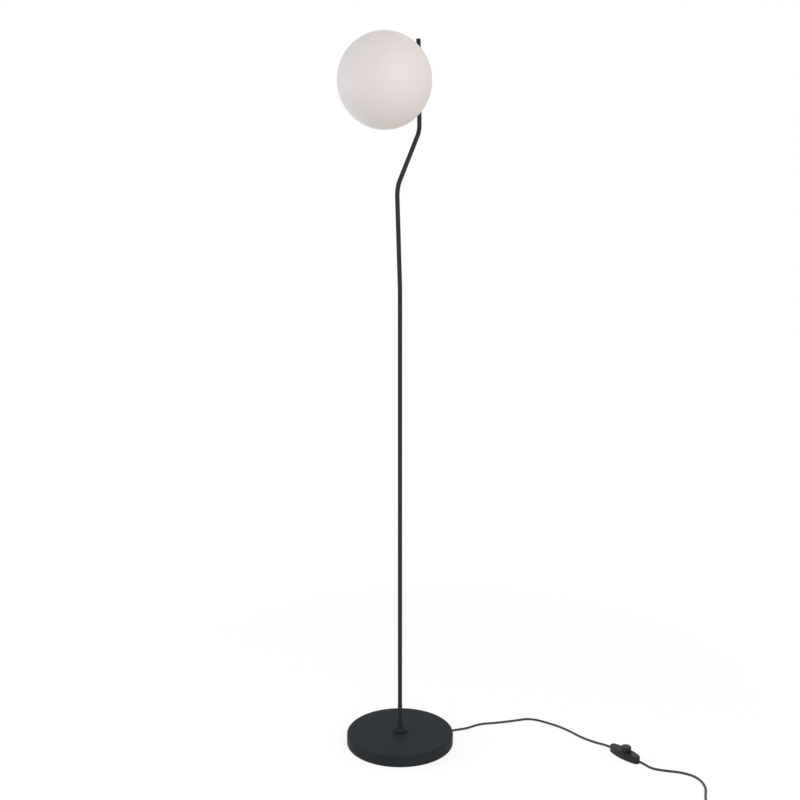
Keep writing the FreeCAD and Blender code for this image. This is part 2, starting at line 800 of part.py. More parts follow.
def make_contact_rotor():
    body = ring(rotor_dia / 2, rotor_pin_dia / 2 + slip_gap, rotor_foot, rotor_top)
    for turn in range(8):
        notch = block(rotor_dia / 2 - 1.2, rotor_dia / 2 + 1, -1, 1, rotor_foot - 1, rotor_top + 1)
        body = body.cut(notch.rotated(ORIGIN, Z, 45 * turn + 22.5))
    arms = block(-bridge_reach, bridge_reach, -bridge_width / 2, bridge_width / 2, rotor_top, bridge_top)
    arms = arms.cut(disc(rotor_pin_dia / 2 + slip_gap, 0, switch_height))
    return at_switch(body.fuse(arms).translated(Vector(button_offset, 0, 0)))


def make_spring_seat():
    body = ring(seat_dia / 2, stem_dia / 2 + slip_gap, seat_foot, seat_top)
    reach = (seat_dia / 2 - seat_leg_dia / 2 - slip_gap) / math.sqrt(2)
    for x in (-reach, reach):
        for y in (-reach, reach):
            body = body.fuse(disc(seat_leg_dia / 2, switch_wall, seat_foot + 0.5, x, y))
    return at_switch(body.translated(Vector(button_offset, 0, 0)))


def make_switch_terminals():
    near = seat_dia / 2 + 1.0
    far = near + 8.0
    strips = []
    for side in (-1, 1):
        foot = block(near, far, -3.0, 3.0, switch_wall, switch_wall + bridge_thick)
        leg = block(near, near + bridge_thick, -2.0, 2.0, switch_wall, finger_top)
        finger = block(bridge_reach - 2.5, near + bridge_thick, -2.0, 2.0, finger_foot, finger_top)
        strip = foot.fuse(leg).fuse(finger).removeSplitter()
        if side < 0:
            strip = strip.rotated(ORIGIN, Z, 180)
        strips.append(at_switch(strip.translated(Vector(button_offset, 0, 0))))
    return Part.makeCompound(strips)


terminal_screw_x = seat_dia / 2 + 5.5


def make_terminal_screws():
    screws = []
    for side in (-1, 1):
        head = disc(2.2, switch_wall + bridge_thick, switch_wall + bridge_thick + 1.6)
        slot = block(-3, 3, -0.35, 0.35, switch_wall + bridge_thick + 0.9, switch_wall + 4)
        place = Vector(button_offset + side * terminal_screw_x, 0, 0)
        screws.append(at_switch(head.cut(slot).translated(place)))
    return Part.makeCompound(screws)


def make_switch_cores():
    """A live core on each side, down to its terminal, and the neutral core that passes by."""
    end = clamp_place
    level = exit_height
    low = switch_wall + core_radius + bore_gap
    cores = []
    for side in (-1, 1):
        screw = button_offset + side * (terminal_screw_x + 2.4)
        start = Vector(side * end, core_spread, level)
        knee = Vector(side * end - side * 3.0, core_spread, level)
        foot = Vector(screw + side * 3.2, core_spread, low + bridge_thick)
        tip = Vector(screw, core_spread, low + bridge_thick)
        cores.append(pipe(rounded_path([start, knee, foot, tip], [3.0, 2.0]), core_radius))
    points = [(-end, -core_spread, level), (-end + 4, -core_spread, level), (-18, -7.0, 4.5),
              (-7, -10.3, 4.2), (12, -10.3, 4.2), (22, -7.0, 4.5),
              (end - 4, -core_spread, level), (end, -core_spread, level)]
    points = [Vector(*point) for point in points]
    cores.append(pipe(rounded_path(points, [4, 8, 12, 12, 8, 4]), core_radius))
    return Part.makeCompound([at_switch(core) for core in cores])


def make_cord_clamps():
    clamps = []
    for side in (-1, 1):
        near, far = sorted((side * clamp_place, side * (clamp_place + clamp_length)))
        body = block(near, far, -clamp_width / 2, clamp_width / 2, switch_wall, clamp_top)
        body = body.cut(lying(cord_radius + bore_gap, near - 1, far + 1, exit_height))
        clamps.append(at_switch(body))
    return Part.makeCompound(clamps)


def make_switch_screws():
    screws = []
    for side in (-1, 1):
        head = disc(screw_head_dia / 2, screw_recess - screw_head_thick, screw_recess)
        shank = disc(screw_dia / 2 - bore_gap, screw_recess - 0.5, switch_height - 2.5 * switch_wall)
        socket = prism(6, 1.6, -1, screw_recess - 0.3)
        screw = head.fuse(shank).removeSplitter().cut(socket)
        screws.append(at_switch(screw.translated(Vector(side * post_x, side * post_y, 0))))
    return Part.makeCompound(screws)


# ---------------------------------------------------------------- coil, tie and plug
def at_coil(shape):
    """Local +X is the cord's heading at the coil, local -Y is the side on which the coil lies."""
    return moved(shape, Placement(Vector(coil_x, coil_y, 0), Rotation(Z, coil_heading)))


def coil_radii():
    half_pitch = coil_pitch / 2
    inward = [coil_radius - half_pitch * step for step in range(coil_steps_in + 1)]
    outward = list(reversed(inward))
    return inward + [coil_inner_radius, coil_inner_radius] + outward + [coil_radius + half_pitch]


def make_cord_coil():
    """Two layers: in on the floor, up a layer in the innermost half turn, and out again on top."""
    radii = coil_radii()
    climb = coil_steps_in + 1
    stations = []
    for step, radius in enumerate(radii):
        side = 1 if step % 2 == 0 else -1
        level = coil_floor if step <= climb else coil_top
        stations.append((Vector(0, side * radius - coil_radius, level), Vector(side, 0, 0)))
    edges = wound_path(stations)
    first = stations[0][0]
    last = stations[-1][0]
    lead_in = Part.LineSegment(first - X * cord_dia, first).toShape()
    lead_out = Part.LineSegment(last, last + X * cord_dia).toShape()
    path = Part.Wire([lead_in, *edges, lead_out])
    print("cord_coil length %.1f" % path.Length,
          "least gap %.2f" % least_gap(path, cord_dia, math.pi * coil_inner_radius))
    return at_coil(pipe(path, cord_radius))


def make_cord_tie():
    radii = coil_radii()
    odd = radii[1::2]
    low = min(odd) - cord_radius - slip_gap
    high = max(odd) + cord_radius + slip_gap
    top = coil_top + cord_radius + bore_gap
    outer = block(-tie_width / 2, tie_width / 2, -high - tie_thick, -low + tie_thick, 0, top + tie_thick)
    inner = block(-tie_width, tie_width, -high, -low, tie_thick, top)
    corner = 2.0
    outer = outer.makeFillet(corner, [edge for edge in outer.Edges if edge.BoundBox.XLength > 1])
    inner = inner.makeFillet(corner - tie_thick, [edge for edge in inner.Edges if edge.BoundBox.XLength > 1])
    return at_coil(outer.cut(inner).translated(Vector(0, -coil_radius, 0)))


def make_cord_tail():
    """The tail's points are set out from the coil's start, so they are turned into place first."""
    turn = Rotation(Z, coil_heading)
    start = Vector(coil_x, coil_y, 0)
    places = [turn.multVec(Vector(along, -across, height)) + start for along, across, height in route_tail]
    return cord_route("cord_tail", places)


def at_plug(shape):
    """Local +X is the plug's axis, from the cord to the pins, at the plug's mid height."""
    back = Vector(plug_along, -plug_across, plug_thick / 2)
    place = Rotation(Z, coil_heading).multVec(back) + Vector(coil_x, coil_y, 0)
    return moved(shape, Placement(place, Rotation(Z, coil_heading - 90)))


def make_plug_boot():
    """Tapered sleeve with grooves."""
    tip = boot_tip_dia / 2
    root = boot_dia / 2
    boot = turned([(0, 0), (tip - 0.6, 0), (tip, 0.6), (root, boot_length), (0, boot_length)])
    step = boot_length / (boot_grooves + 1)
    for groove in range(1, boot_grooves + 1):
        middle = groove * step
        boot = boot.cut(ring(root + 1, tip - 0.9, middle - 0.9, middle + 0.9))
    return at_plug(boot.rotated(ORIGIN, Y, 90))


def make_plug_body():
    half = plug_width / 2
    back = plug_back_width / 2
    corners = [(0, -back), (plug_length * 0.42, -half), (plug_length, -half), (plug_length, half),
               (plug_length * 0.42, half), (0, back), (0, -back)]
    outline = Part.makePolygon([Vector(x + boot_length, y, -plug_thick / 2) for x, y in corners])
    body = Part.Face(outline).extrude(Vector(0, 0, plug_thick))
    uprights = [edge for edge in body.Edges if edge.BoundBox.ZLength > plug_thick - 1e-3
                and edge.BoundBox.XMax < boot_length + plug_length - 1e-3]
    body = body.makeFillet(3.0, uprights)
    body = body.makeFillet(1.6, level_edges(body, plug_thick / 2) + level_edges(body, -plug_thick / 2))
    return at_plug(body)


def make_pin_sleeves():
    start = boot_length + plug_length
    sleeves = [lying(pin_sleeve_dia / 2, start, start + pin_sleeve_length, 0, side * pin_spacing / 2)
               for side in (-1, 1)]
    return Part.makeCompound([at_plug(sleeve) for sleeve in sleeves])


def make_plug_pins():
    start = boot_length + plug_length + pin_sleeve_length
    end = boot_length + plug_length + pin_length
    pins = []
    for side in (-1, 1):
        pin = lying(pin_dia / 2, start, end, 0, side * pin_spacing / 2)
        pin = pin.makeFillet(1.5, [edge for edge in pin.Edges if edge.BoundBox.XMin > end - 1e-3])
        pins.append(at_plug(pin))
    return Part.makeCompound(pins)


# ---------------------------------------------------------------- all the pieces
save("base_pad", make_base_pad())
save("base_weight", make_base_weight())
save("base_cover", make_base_cover())
save("base_stud", make_base_stud())
save("base_washer", make_base_washer())
save("base_nut", make_base_nut())
save("foot_collar", make_foot_collar())
save("cord_grommet", make_cord_grommet())
save("cord_stop", make_cord_stop())
save("base_lead", make_base_lead())
save("terminal_block", make_terminal_block())
save("lead_cores", make_lead_cores())
save("tube_lower", pole_tube(base_height, lower_joint))
save("tube_middle", pole_tube(lower_joint, upper_joint))
save("tube_upper", make_tube_upper())
save("joint_stud_lower", make_joint_stud(lower_joint))
save("joint_stud_upper", make_joint_stud(upper_joint))
save("tube_end_cap", make_tube_end_cap())
save("wire_live", pole_wire_solid(1))
save("wire_neutral", pole_wire_solid(-1))
save("head_boss", make_head_boss())
save("grub_screw", make_grub_screw())
save("head_nipple", make_head_nipple())
save("shade_cup", make_shade_cup())
save("cup_nut", make_cup_nut())
save("holder_cap", make_holder_cap())
save("holder_skirt", make_holder_skirt())
save("holder_core", make_holder_core())
save("screw_shell", make_screw_shell())
save("centre_contact", make_centre_contact())
save("bulb_tip", make_bulb_tip())
save("bulb_cap", make_bulb_cap())
save("bulb_housing", make_bulb_housing())
save("bulb_envelope", make_bulb_envelope())
save("globe_gasket", make_globe_gasket())
save("globe_collar", make_globe_collar())
save("glass_globe", make_glass_globe())
save("switch_base", make_switch_base())
save("switch_cover", make_switch_cover())
save("switch_button", make_switch_button())
save("switch_spring", make_switch_spring())
save("contact_rotor", make_contact_rotor())
save("spring_seat", make_spring_seat())
save("switch_terminals", make_switch_terminals())
save("terminal_screws", make_terminal_screws())
save("switch_cores", make_switch_cores())
save("cord_clamps", make_cord_clamps())
save("switch_screws", make_switch_screws())
save("cord_to_switch", cord_route("cord_to_switch", route_to_switch))
save("cord_from_switch", cord_route("cord_from_switch", route_from_switch))
save("cord_coil", make_cord_coil())
save("cord_tail", make_cord_tail())
save("cord_tie", make_cord_tie())
save("plug_boot", make_plug_boot())
save("plug_body", make_plug_body())
save("pin_sleeves", make_pin_sleeves())
save("plug_pins", make_plug_pins())
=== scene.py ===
import math

import bmesh
import bpy
from mathutils import Matrix, Vector


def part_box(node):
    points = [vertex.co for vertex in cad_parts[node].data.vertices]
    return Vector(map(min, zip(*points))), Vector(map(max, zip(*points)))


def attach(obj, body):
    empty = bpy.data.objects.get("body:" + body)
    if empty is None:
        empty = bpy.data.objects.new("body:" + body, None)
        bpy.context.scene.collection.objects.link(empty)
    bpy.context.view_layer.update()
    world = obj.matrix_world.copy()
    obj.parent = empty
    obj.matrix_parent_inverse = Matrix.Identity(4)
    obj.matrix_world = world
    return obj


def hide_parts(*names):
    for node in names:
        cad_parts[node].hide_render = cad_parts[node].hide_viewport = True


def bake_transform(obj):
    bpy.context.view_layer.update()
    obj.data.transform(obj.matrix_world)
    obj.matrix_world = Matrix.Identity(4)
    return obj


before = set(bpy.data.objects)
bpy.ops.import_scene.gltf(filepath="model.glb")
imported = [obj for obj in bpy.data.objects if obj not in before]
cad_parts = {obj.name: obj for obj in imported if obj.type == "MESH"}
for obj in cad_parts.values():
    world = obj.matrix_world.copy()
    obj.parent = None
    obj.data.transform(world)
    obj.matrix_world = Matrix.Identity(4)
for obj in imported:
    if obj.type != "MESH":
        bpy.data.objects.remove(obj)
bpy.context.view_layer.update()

bpy.ops.object.select_all(action="DESELECT")
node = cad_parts

# ---------------------------------------------------------------------------------------------
# The photographer's floor. A sweep of matt white card that runs out of sight and shows as plain
# white, with only a faint shadow left under the base and the cord.
floor_radius = 9.0
shadow_fades_from = 0.9    # from here outwards the shadow fades
shadow_gone_at = 2.2       # and from here hardly any is kept
floor_white = (0.95, 0.93, 0.905)
floor_glow = 1.09          # makes up for the card's own shading where nothing shades it
shadow_kept = 0.25         # share of the card's own shading that the lens still sees


def seen_by_lens(nodes, links):
    """1 where the camera sees a surface, straight, mirrored or through glass, and 0 otherwise."""
    rays = nodes.new("ShaderNodeLightPath")
    seen = rays.outputs["Is Camera Ray"]
    for kind in ("Is Glossy Ray", "Is Transmission Ray"):
        either = nodes.new("ShaderNodeMath")
        either.operation = "MAXIMUM"
        links.new(seen, either.inputs[0])
        links.new(rays.outputs[kind], either.inputs[1])
        seen = either.outputs[0]
    return seen


bpy.ops.mesh.primitive_circle_add(vertices=96, radius=floor_radius, fill_type="TRIFAN")
floor = bpy.context.object
floor.name = "studio_floor"
card = bpy.data.materials.new("white_card")
card.use_nodes = True
nodes = card.node_tree.nodes
links = card.node_tree.links
nodes["Principled BSDF"].inputs["Base Color"].default_value = (*floor_white, 1)
nodes["Principled BSDF"].inputs["Roughness"].default_value = 0.9
nodes["Principled BSDF"].inputs["Specular IOR Level"].default_value = 0.1
glow = nodes.new("ShaderNodeEmission")
glow.inputs["Strength"].default_value = floor_glow
place = nodes.new("ShaderNodeTexCoord")
distance = nodes.new("ShaderNodeVectorMath")
distance.operation = "LENGTH"
links.new(place.outputs["Object"], distance.inputs[0])
fade = nodes.new("ShaderNodeMapRange")
fade.inputs["From Min"].default_value = shadow_fades_from
fade.inputs["From Max"].default_value = shadow_gone_at
fade.inputs["To Min"].default_value = 1 - shadow_kept
fade.inputs["To Max"].default_value = 1 / floor_glow    # the glow that is seen never passes 1
links.new(distance.outputs["Value"], fade.inputs["Value"])
share = nodes.new("ShaderNodeMath")
share.operation = "MULTIPLY"
links.new(fade.outputs["Result"], share.inputs[0])
links.new(seen_by_lens(nodes, links), share.inputs[1])
mix = nodes.new("ShaderNodeMixShader")
links.new(share.outputs[0], mix.inputs["Fac"])
links.new(nodes["Principled BSDF"].outputs[0], mix.inputs[1])
links.new(glow.outputs[0], mix.inputs[2])
links.new(mix.outputs[0], nodes["Material Output"].inputs["Surface"])
floor.data.materials.append(card)

# ---------------------------------------------------------------------------------------------
# Studio light. An even white room, a little warmer and dimmer from its ceiling, a large soft
# box in front, right of the camera, and a cooler one at the left. Nothing sparkles.
room_light = 0.62
ceiling_colour = (0.90, 0.82, 0.745, 1)
wall_colour = (1.0, 0.985, 0.98, 1)
world = bpy.data.worlds.new("white_room")
bpy.context.scene.world = world
world.use_nodes = True
nodes = world.node_tree.nodes
links = world.node_tree.links
direction = nodes.new("ShaderNodeTexCoord")
upward = nodes.new("ShaderNodeSeparateXYZ")
links.new(direction.outputs["Generated"], upward.inputs["Vector"])
room = nodes.new("ShaderNodeValToRGB")
room.color_ramp.elements[0].position = 0.15
room.color_ramp.elements[0].color = wall_colour
room.color_ramp.elements[1].position = 0.80
room.color_ramp.elements[1].color = ceiling_colour
links.new(upward.outputs["Z"], room.inputs["Fac"])
links.new(room.outputs["Color"], nodes["Background"].inputs["Color"])
nodes["Background"].inputs["Strength"].default_value = room_light
backdrop = nodes.new("ShaderNodeBackground")
backdrop.inputs["Color"].default_value = (1, 1, 1, 1)
backdrop.inputs["Strength"].default_value = 1.0
mix = nodes.new("ShaderNodeMixShader")
links.new(seen_by_lens(nodes, links), mix.inputs["Fac"])
links.new(nodes["Background"].outputs[0], mix.inputs[1])
links.new(backdrop.outputs[0], mix.inputs[2])
links.new(mix.outputs[0], nodes["World Output"].inputs["Surface"])


def soft_box(name, bearing, height, distance, size, power, colour):
    """A square soft box round the lamp: bearing as the camera's, aimed at the upper pole."""
    aim = Vector((0, 0, 1.1))
    angle = math.radians(bearing)
    place = Vector((math.sin(angle) * distance, -math.cos(angle) * distance, height))
    bpy.ops.object.light_add(type="AREA", location=place)
    box = bpy.context.object
    box.name = name
    box.rotation_euler = (aim - place).to_track_quat("-Z", "Y").to_euler()
    box.data.shape = "SQUARE"
    box.data.size = size
    box.data.energy = power
    box.data.color = colour


soft_box("front_soft_box", 60, 2.2, 3.0, 2.2, 52, (1.0, 0.97, 0.965))
soft_box("cool_soft_box", -60, 1.5, 3.6, 1.8, 44, (0.78, 0.90, 1.0))

# ---------------------------------------------------------------------------------------------
# The camera stands right of the globe's front, a little above the middle of the pole, and
# looks slightly down, so that the base is an open ellipse and the pole's bends show.
camera_bearing = 37.1
camera_distance = 2.261     # level distance from the pole
camera_height = 1.139
camera_drop = 8.26          # how far it looks down
camera_lens = 46.0
angle = math.radians(camera_bearing)
bpy.ops.object.camera_add(
    location=(math.sin(angle) * camera_distance, -math.cos(angle) * camera_distance, camera_height),
    rotation=(math.radians(90 - camera_drop), 0, angle))
camera = bpy.context.object
camera.data.lens = camera_lens
camera.data.sensor_width = 36.0
bpy.context.scene.camera = camera
bpy.context.scene.view_settings.view_transform = "Standard"

# ---------------------------------------------------------------------------------------------
# Weight: a disc of grey iron as it comes from the mould, with a boss for the pole and a
# hollow below for the nut and the wiring. Sand skin, a little rust bloom.


def new_finish(name, colour, roughness, metallic=0.0, gloss=0.5):
    """A plain finish; its grain and its play of colour are laid over it afterwards."""
    finish = bpy.data.materials.new(name)
    finish.use_nodes = True
    shader = finish.node_tree.nodes["Principled BSDF"]
    shader.inputs["Base Color"].default_value = (*colour, 1)
    shader.inputs["Roughness"].default_value = roughness
    shader.inputs["Metallic"].default_value = metallic
    shader.inputs["Specular IOR Level"].default_value = gloss
    return finish


def noise_on(finish, scale, detail=3.0, stretch=(1, 1, 1)):
    """Noise in metres on the piece's own coordinates; stretch draws it out along an axis."""
    nodes = finish.node_tree.nodes
    links = finish.node_tree.links
    place = nodes.new("ShaderNodeTexCoord")
    mapping = nodes.new("ShaderNodeMapping")
    mapping.inputs["Scale"].default_value = stretch
    noise = nodes.new("ShaderNodeTexNoise")
    noise.inputs["Scale"].default_value = scale
    noise.inputs["Detail"].default_value = detail
    links.new(place.outputs["Object"], mapping.inputs["Vector"])
    links.new(mapping.outputs["Vector"], noise.inputs["Vector"])
    return noise.outputs["Fac"]


def lay_grain(finish, height, depth, strength=0.5):
    """A relief of that depth in metres from a height between 0 and 1, on top of any other."""
    nodes = finish.node_tree.nodes
    links = finish.node_tree.links
    bump = nodes.new("ShaderNodeBump")
    bump.inputs["Distance"].default_value = depth
    bump.inputs["Strength"].default_value = strength
    shader = nodes["Principled BSDF"]
    if shader.inputs["Normal"].is_linked:
        links.new(shader.inputs["Normal"].links[0].from_socket, bump.inputs["Normal"])
    links.new(height, bump.inputs["Height"])
    links.new(bump.outputs["Normal"], shader.inputs["Normal"])


def lay_colours(finish, pattern, dark, light, low=0.35, high=0.65):
    """Two near colours that follow a pattern."""
    nodes = finish.node_tree.nodes
    links = finish.node_tree.links
    ramp = nodes.new("ShaderNodeValToRGB")
    ramp.color_ramp.elements[0].position = low
    ramp.color_ramp.elements[0].color = (*dark, 1)
    ramp.color_ramp.elements[1].position = high
    ramp.color_ramp.elements[1].color = (*light, 1)
    links.new(pattern, ramp.inputs["Fac"])
    links.new(ramp.outputs["Color"], nodes["Principled BSDF"].inputs["Base Color"])


def lay_roughness(finish, pattern, smooth, rough):
    """Roughness that wanders between two values with a pattern."""
    nodes = finish.node_tree.nodes
    links = finish.node_tree.links
    spread = nodes.new("ShaderNodeMapRange")
    spread.inputs["From Min"].default_value = 0.3
    spread.inputs["From Max"].default_value = 0.7
    spread.inputs["To Min"].default_value = smooth
    spread.inputs["To Max"].default_value = rough
    links.new(pattern, spread.inputs["Value"])
    links.new(spread.outputs["Result"], nodes["Principled BSDF"].inputs["Roughness"])


def coat(finish, *names):
    """Gives CAD nodes, whose shape is right, their finish."""
    for name in names:
        mesh = node[name].data
        mesh.materials.clear()
        mesh.materials.append(finish)


cast_iron = new_finish("cast_iron", (0.10, 0.095, 0.09), 0.75, metallic=0.6)
lay_colours(cast_iron, noise_on(cast_iron, 35, 6), (0.075, 0.062, 0.052), (0.15, 0.145, 0.14))
lay_grain(cast_iron, noise_on(cast_iron, 420, 6), 0.0007, 0.7)
lay_roughness(cast_iron, noise_on(cast_iron, 90, 4), 0.6, 0.85)
coat(cast_iron, "base_weight")

# ---------------------------------------------------------------------------------------------
# Fastening of the pole: hollow studs, a washer and a nut of zinc-plated steel, pale and
# slightly blue, with the fine turning marks of a bar lathe. Other small screws and nuts too.
zinc = new_finish("zinc_plate", (0.52, 0.53, 0.53), 0.34, metallic=1.0)
lay_colours(zinc, noise_on(zinc, 130, 4), (0.46, 0.47, 0.48), (0.58, 0.58, 0.56))
lay_grain(zinc, noise_on(zinc, 60, 2, stretch=(1, 1, 40)), 0.00005, 0.5)
lay_roughness(zinc, noise_on(zinc, 300, 3), 0.26, 0.42)
coat(zinc, "base_stud", "base_washer", "base_nut", "joint_stud_lower", "joint_stud_upper",
     "terminal_screws", "switch_screws", "cup_nut", "head_nipple")

# ---------------------------------------------------------------------------------------------
# Base cover: a shallow cap drawn from 1.2 mm sheet over the weight, its upper edge rounded,
# with a hole for the cord low on one side. Charcoal powder coat, matt and very finely grained.
cover_low, cover_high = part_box("base_cover")
cover_radius = 0.124
cover_wall = 0.0012
cover_edge = 0.005
pole_hole = 0.0045
cord_exit_bearing = math.radians(56.0)
cord_exit_height = 0.0065
grommet_hole = 0.0043


def pick(kind, chosen):
    """In edit mode, selects just the edges or faces whose middle passes the test."""
    mesh = bmesh.from_edit_mesh(bpy.context.object.data)
    for elements in (mesh.faces, mesh.edges, mesh.verts):
        for element in elements:
            element.select_set(False)
    bpy.ops.mesh.select_mode(type=kind)
    if kind == "EDGE":
        for edge in mesh.edges:
            edge.select_set(chosen((edge.verts[0].co + edge.verts[1].co) / 2))
    else:
        for face in mesh.faces:
            face.select_set(chosen(face.calc_center_median()))
    bmesh.update_edit_mesh(bpy.context.object.data)


def finish_mesh(piece, smooth=35.0):
    """Closes seams, turns the faces outwards and smooths what isn't a real edge."""
    bpy.context.view_layer.objects.active = piece
    bpy.ops.object.mode_set(mode="EDIT")
    bpy.ops.mesh.select_all(action="SELECT")
    bpy.ops.mesh.remove_doubles(threshold=0.000002)
    bpy.ops.mesh.normals_make_consistent(inside=False)
    bpy.ops.object.mode_set(mode="OBJECT")
    bpy.ops.object.shade_smooth_by_angle(angle=math.radians(smooth))


def apply_modifiers(piece):
    bpy.context.view_layer.objects.active = piece
    for modifier in list(piece.modifiers):
        bpy.ops.object.modifier_apply(modifier=modifier.name)


def place_mesh(piece, matrix):
    """Moves a piece that was made about its own axis to its place on the lamp."""
    bpy.ops.object.select_all(action="DESELECT")
    piece.select_set(True)
    bpy.context.view_layer.objects.active = piece
    piece.matrix_world = matrix @ piece.matrix_world
    bpy.ops.object.transform_apply(location=True, rotation=True, scale=True)


def hand_over(piece, body, finish, slot, *replaced):
    """The finished piece takes the place of its CAD nodes and rides with their body."""
    bpy.ops.object.select_all(action="DESELECT")
    piece.data.materials.clear()
    piece.data.materials.append(finish)
    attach(piece, body)
    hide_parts(*replaced)


powder = new_finish("charcoal_powder_coat", (0.0170, 0.0215, 0.0255), 0.62, gloss=0.10)
lay_colours(powder, noise_on(powder, 16, 2), (0.0160, 0.0205, 0.0245), (0.0180, 0.0225, 0.0265))
lay_roughness(powder, noise_on(powder, 700, 3), 0.56, 0.70)
lay_grain(powder, noise_on(powder, 1500, 2), 0.00006, 0.35)
lay_grain(powder, noise_on(powder, 260, 2), 0.00010, 0.25)

bpy.ops.mesh.primitive_cylinder_add(
    vertices=240, radius=cover_radius, depth=cover_high.z - cover_low.z,
    location=(0, 0, (cover_low.z + cover_high.z) / 2))
cover = bpy.context.object
cover.name = "cover_pressing"
bpy.ops.object.transform_apply(location=True, rotation=True, scale=True)
bpy.ops.object.mode_set(mode="EDIT")
pick("FACE", lambda middle: middle.z < cover_low.z + 0.0001)
bpy.ops.mesh.delete(type="FACE")
pick("FACE", lambda middle: middle.z > cover_high.z - 0.0001)
bpy.ops.mesh.inset(thickness=cover_radius - pole_hole)
bpy.ops.mesh.delete(type="FACE")
pick("EDGE", lambda middle: middle.z > cover_high.z - 0.0001 and middle.length > cover_radius - 0.001
     and middle.xy.length > cover_radius * 0.999)
bpy.ops.mesh.bevel(offset=cover_edge, segments=10, affect="EDGES")
# a narrow ring round the flat top keeps its shading flat up to the rounded edge
pick("FACE", lambda middle: middle.z > cover_high.z - 0.00001)
bpy.ops.mesh.inset(thickness=0.0004)
bpy.ops.object.mode_set(mode="OBJECT")
wall = cover.modifiers.new("wall", "SOLIDIFY")
wall.thickness = cover_wall
wall.offset = -1
wall.use_even_offset = True
apply_modifiers(cover)
bpy.ops.mesh.primitive_cylinder_add(
    vertices=48, radius=grommet_hole, depth=0.02,
    location=(cover_radius * math.cos(cord_exit_bearing), cover_radius * math.sin(cord_exit_bearing),
              cord_exit_height), rotation=(math.pi / 2, 0, cord_exit_bearing + math.pi / 2))
bit = bpy.context.object
hole = cover.modifiers.new("cord_hole", "BOOLEAN")
hole.object = bit
hole.operation = "DIFFERENCE"
apply_modifiers(cover)
bpy.data.objects.remove(bit)
finish_mesh(cover)
hand_over(cover, "lamp", powder, "black_paint", "base_cover")

# ---------------------------------------------------------------------------------------------
# Foot collar: a small bell turned from steel bar, slid down the pole onto the cover. It hides
# the hole and the pole's lower end. Same charcoal coat.
collar_low, collar_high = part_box("foot_collar")
collar_radius = 0.01625
collar_neck = 0.0064
collar_bore = 0.0051
collar_side = 0.0040


def draw_out(rings, radius, height):
    """Extrudes the chosen circle of edges up and out, ring by ring; a radius of 0 closes it."""
    for next_radius, next_height in rings:
        bpy.ops.mesh.extrude_edges_move(
            TRANSFORM_OT_translate={"value": (0, 0, next_height - height)})
        if next_radius > 0:
            widen = next_radius / radius
            bpy.ops.transform.resize(value=(widen, widen, 1), center_override=(0, 0, next_height))
        else:
            bpy.ops.mesh.merge(type="CENTER")
        radius, height = next_radius, next_height


def turn_piece(name, rings, sides=96):
    """Turns a piece on the lathe: a circle is drawn up and out, ring by ring. A last radius of 0
    closes the end, and a last ring that meets the first closes a ring-shaped piece."""
    bpy.ops.object.select_all(action="DESELECT")
    radius, height = rings[0]
    bpy.ops.mesh.primitive_circle_add(vertices=sides, radius=max(radius, 0.0001), location=(0, 0, height))
    piece = bpy.context.object
    piece.name = name
    bpy.ops.object.transform_apply(location=True, rotation=True, scale=True)
    bpy.ops.object.mode_set(mode="EDIT")
    bpy.ops.mesh.select_mode(type="EDGE")
    bpy.ops.mesh.select_all(action="SELECT")
    if radius == 0:
        bpy.ops.mesh.edge_face_add()
        bpy.ops.mesh.select_all(action="SELECT")
        bpy.ops.mesh.poke()
        pick("EDGE", lambda middle: middle.xy.length > 0.00006)
        radius = 0.0001
    draw_out(rings[1:], radius, height)
    bpy.ops.object.mode_set(mode="OBJECT")
    finish_mesh(piece)
    return piece


collar_rings = [(collar_bore, collar_low.z), (collar_radius - 0.0003, collar_low.z),
                (collar_radius, collar_low.z + 0.0003), (collar_radius, collar_low.z + collar_side)]
flare_start = collar_low.z + collar_side
flare_end = collar_high.z - 0.0006
flare_steps = 26
for step in range(1, flare_steps + 1):
    share_up = step / flare_steps
    drawn_in = math.sin(share_up * math.pi / 2) ** 0.72
    collar_rings.append((collar_radius + (collar_neck - collar_radius) * drawn_in,
                         flare_start + (flare_end - flare_start) * share_up ** 1.25))
collar_rings += [(collar_neck - 0.0005, collar_high.z), (collar_bore, collar_high.z),
                 (collar_bore, collar_low.z)]
collar = turn_piece("foot_bell", collar_rings)
hand_over(collar, "lamp", powder, "black_paint", "foot_collar")

# ---------------------------------------------------------------------------------------------
# Grommet: a soft black bush pressed into the hole low in the cover's side. The cord leaves the
# lamp through its rounded lip.
grommet_bore = 0.0030
grommet_lip = 0.0058
lip_thick = 0.0030
neck_inside = 0.0036


def arc_rings(middle_radius, middle_height, radius, first, last, steps):
    """Rings along a round edge of a turned piece, between two angles from the level, in degrees."""
    rings = []
    for step in range(steps + 1):
        swing = math.radians(first + (last - first) * step / steps)
        rings.append((middle_radius + radius * math.cos(swing), middle_height + radius * math.sin(swing)))
    return rings


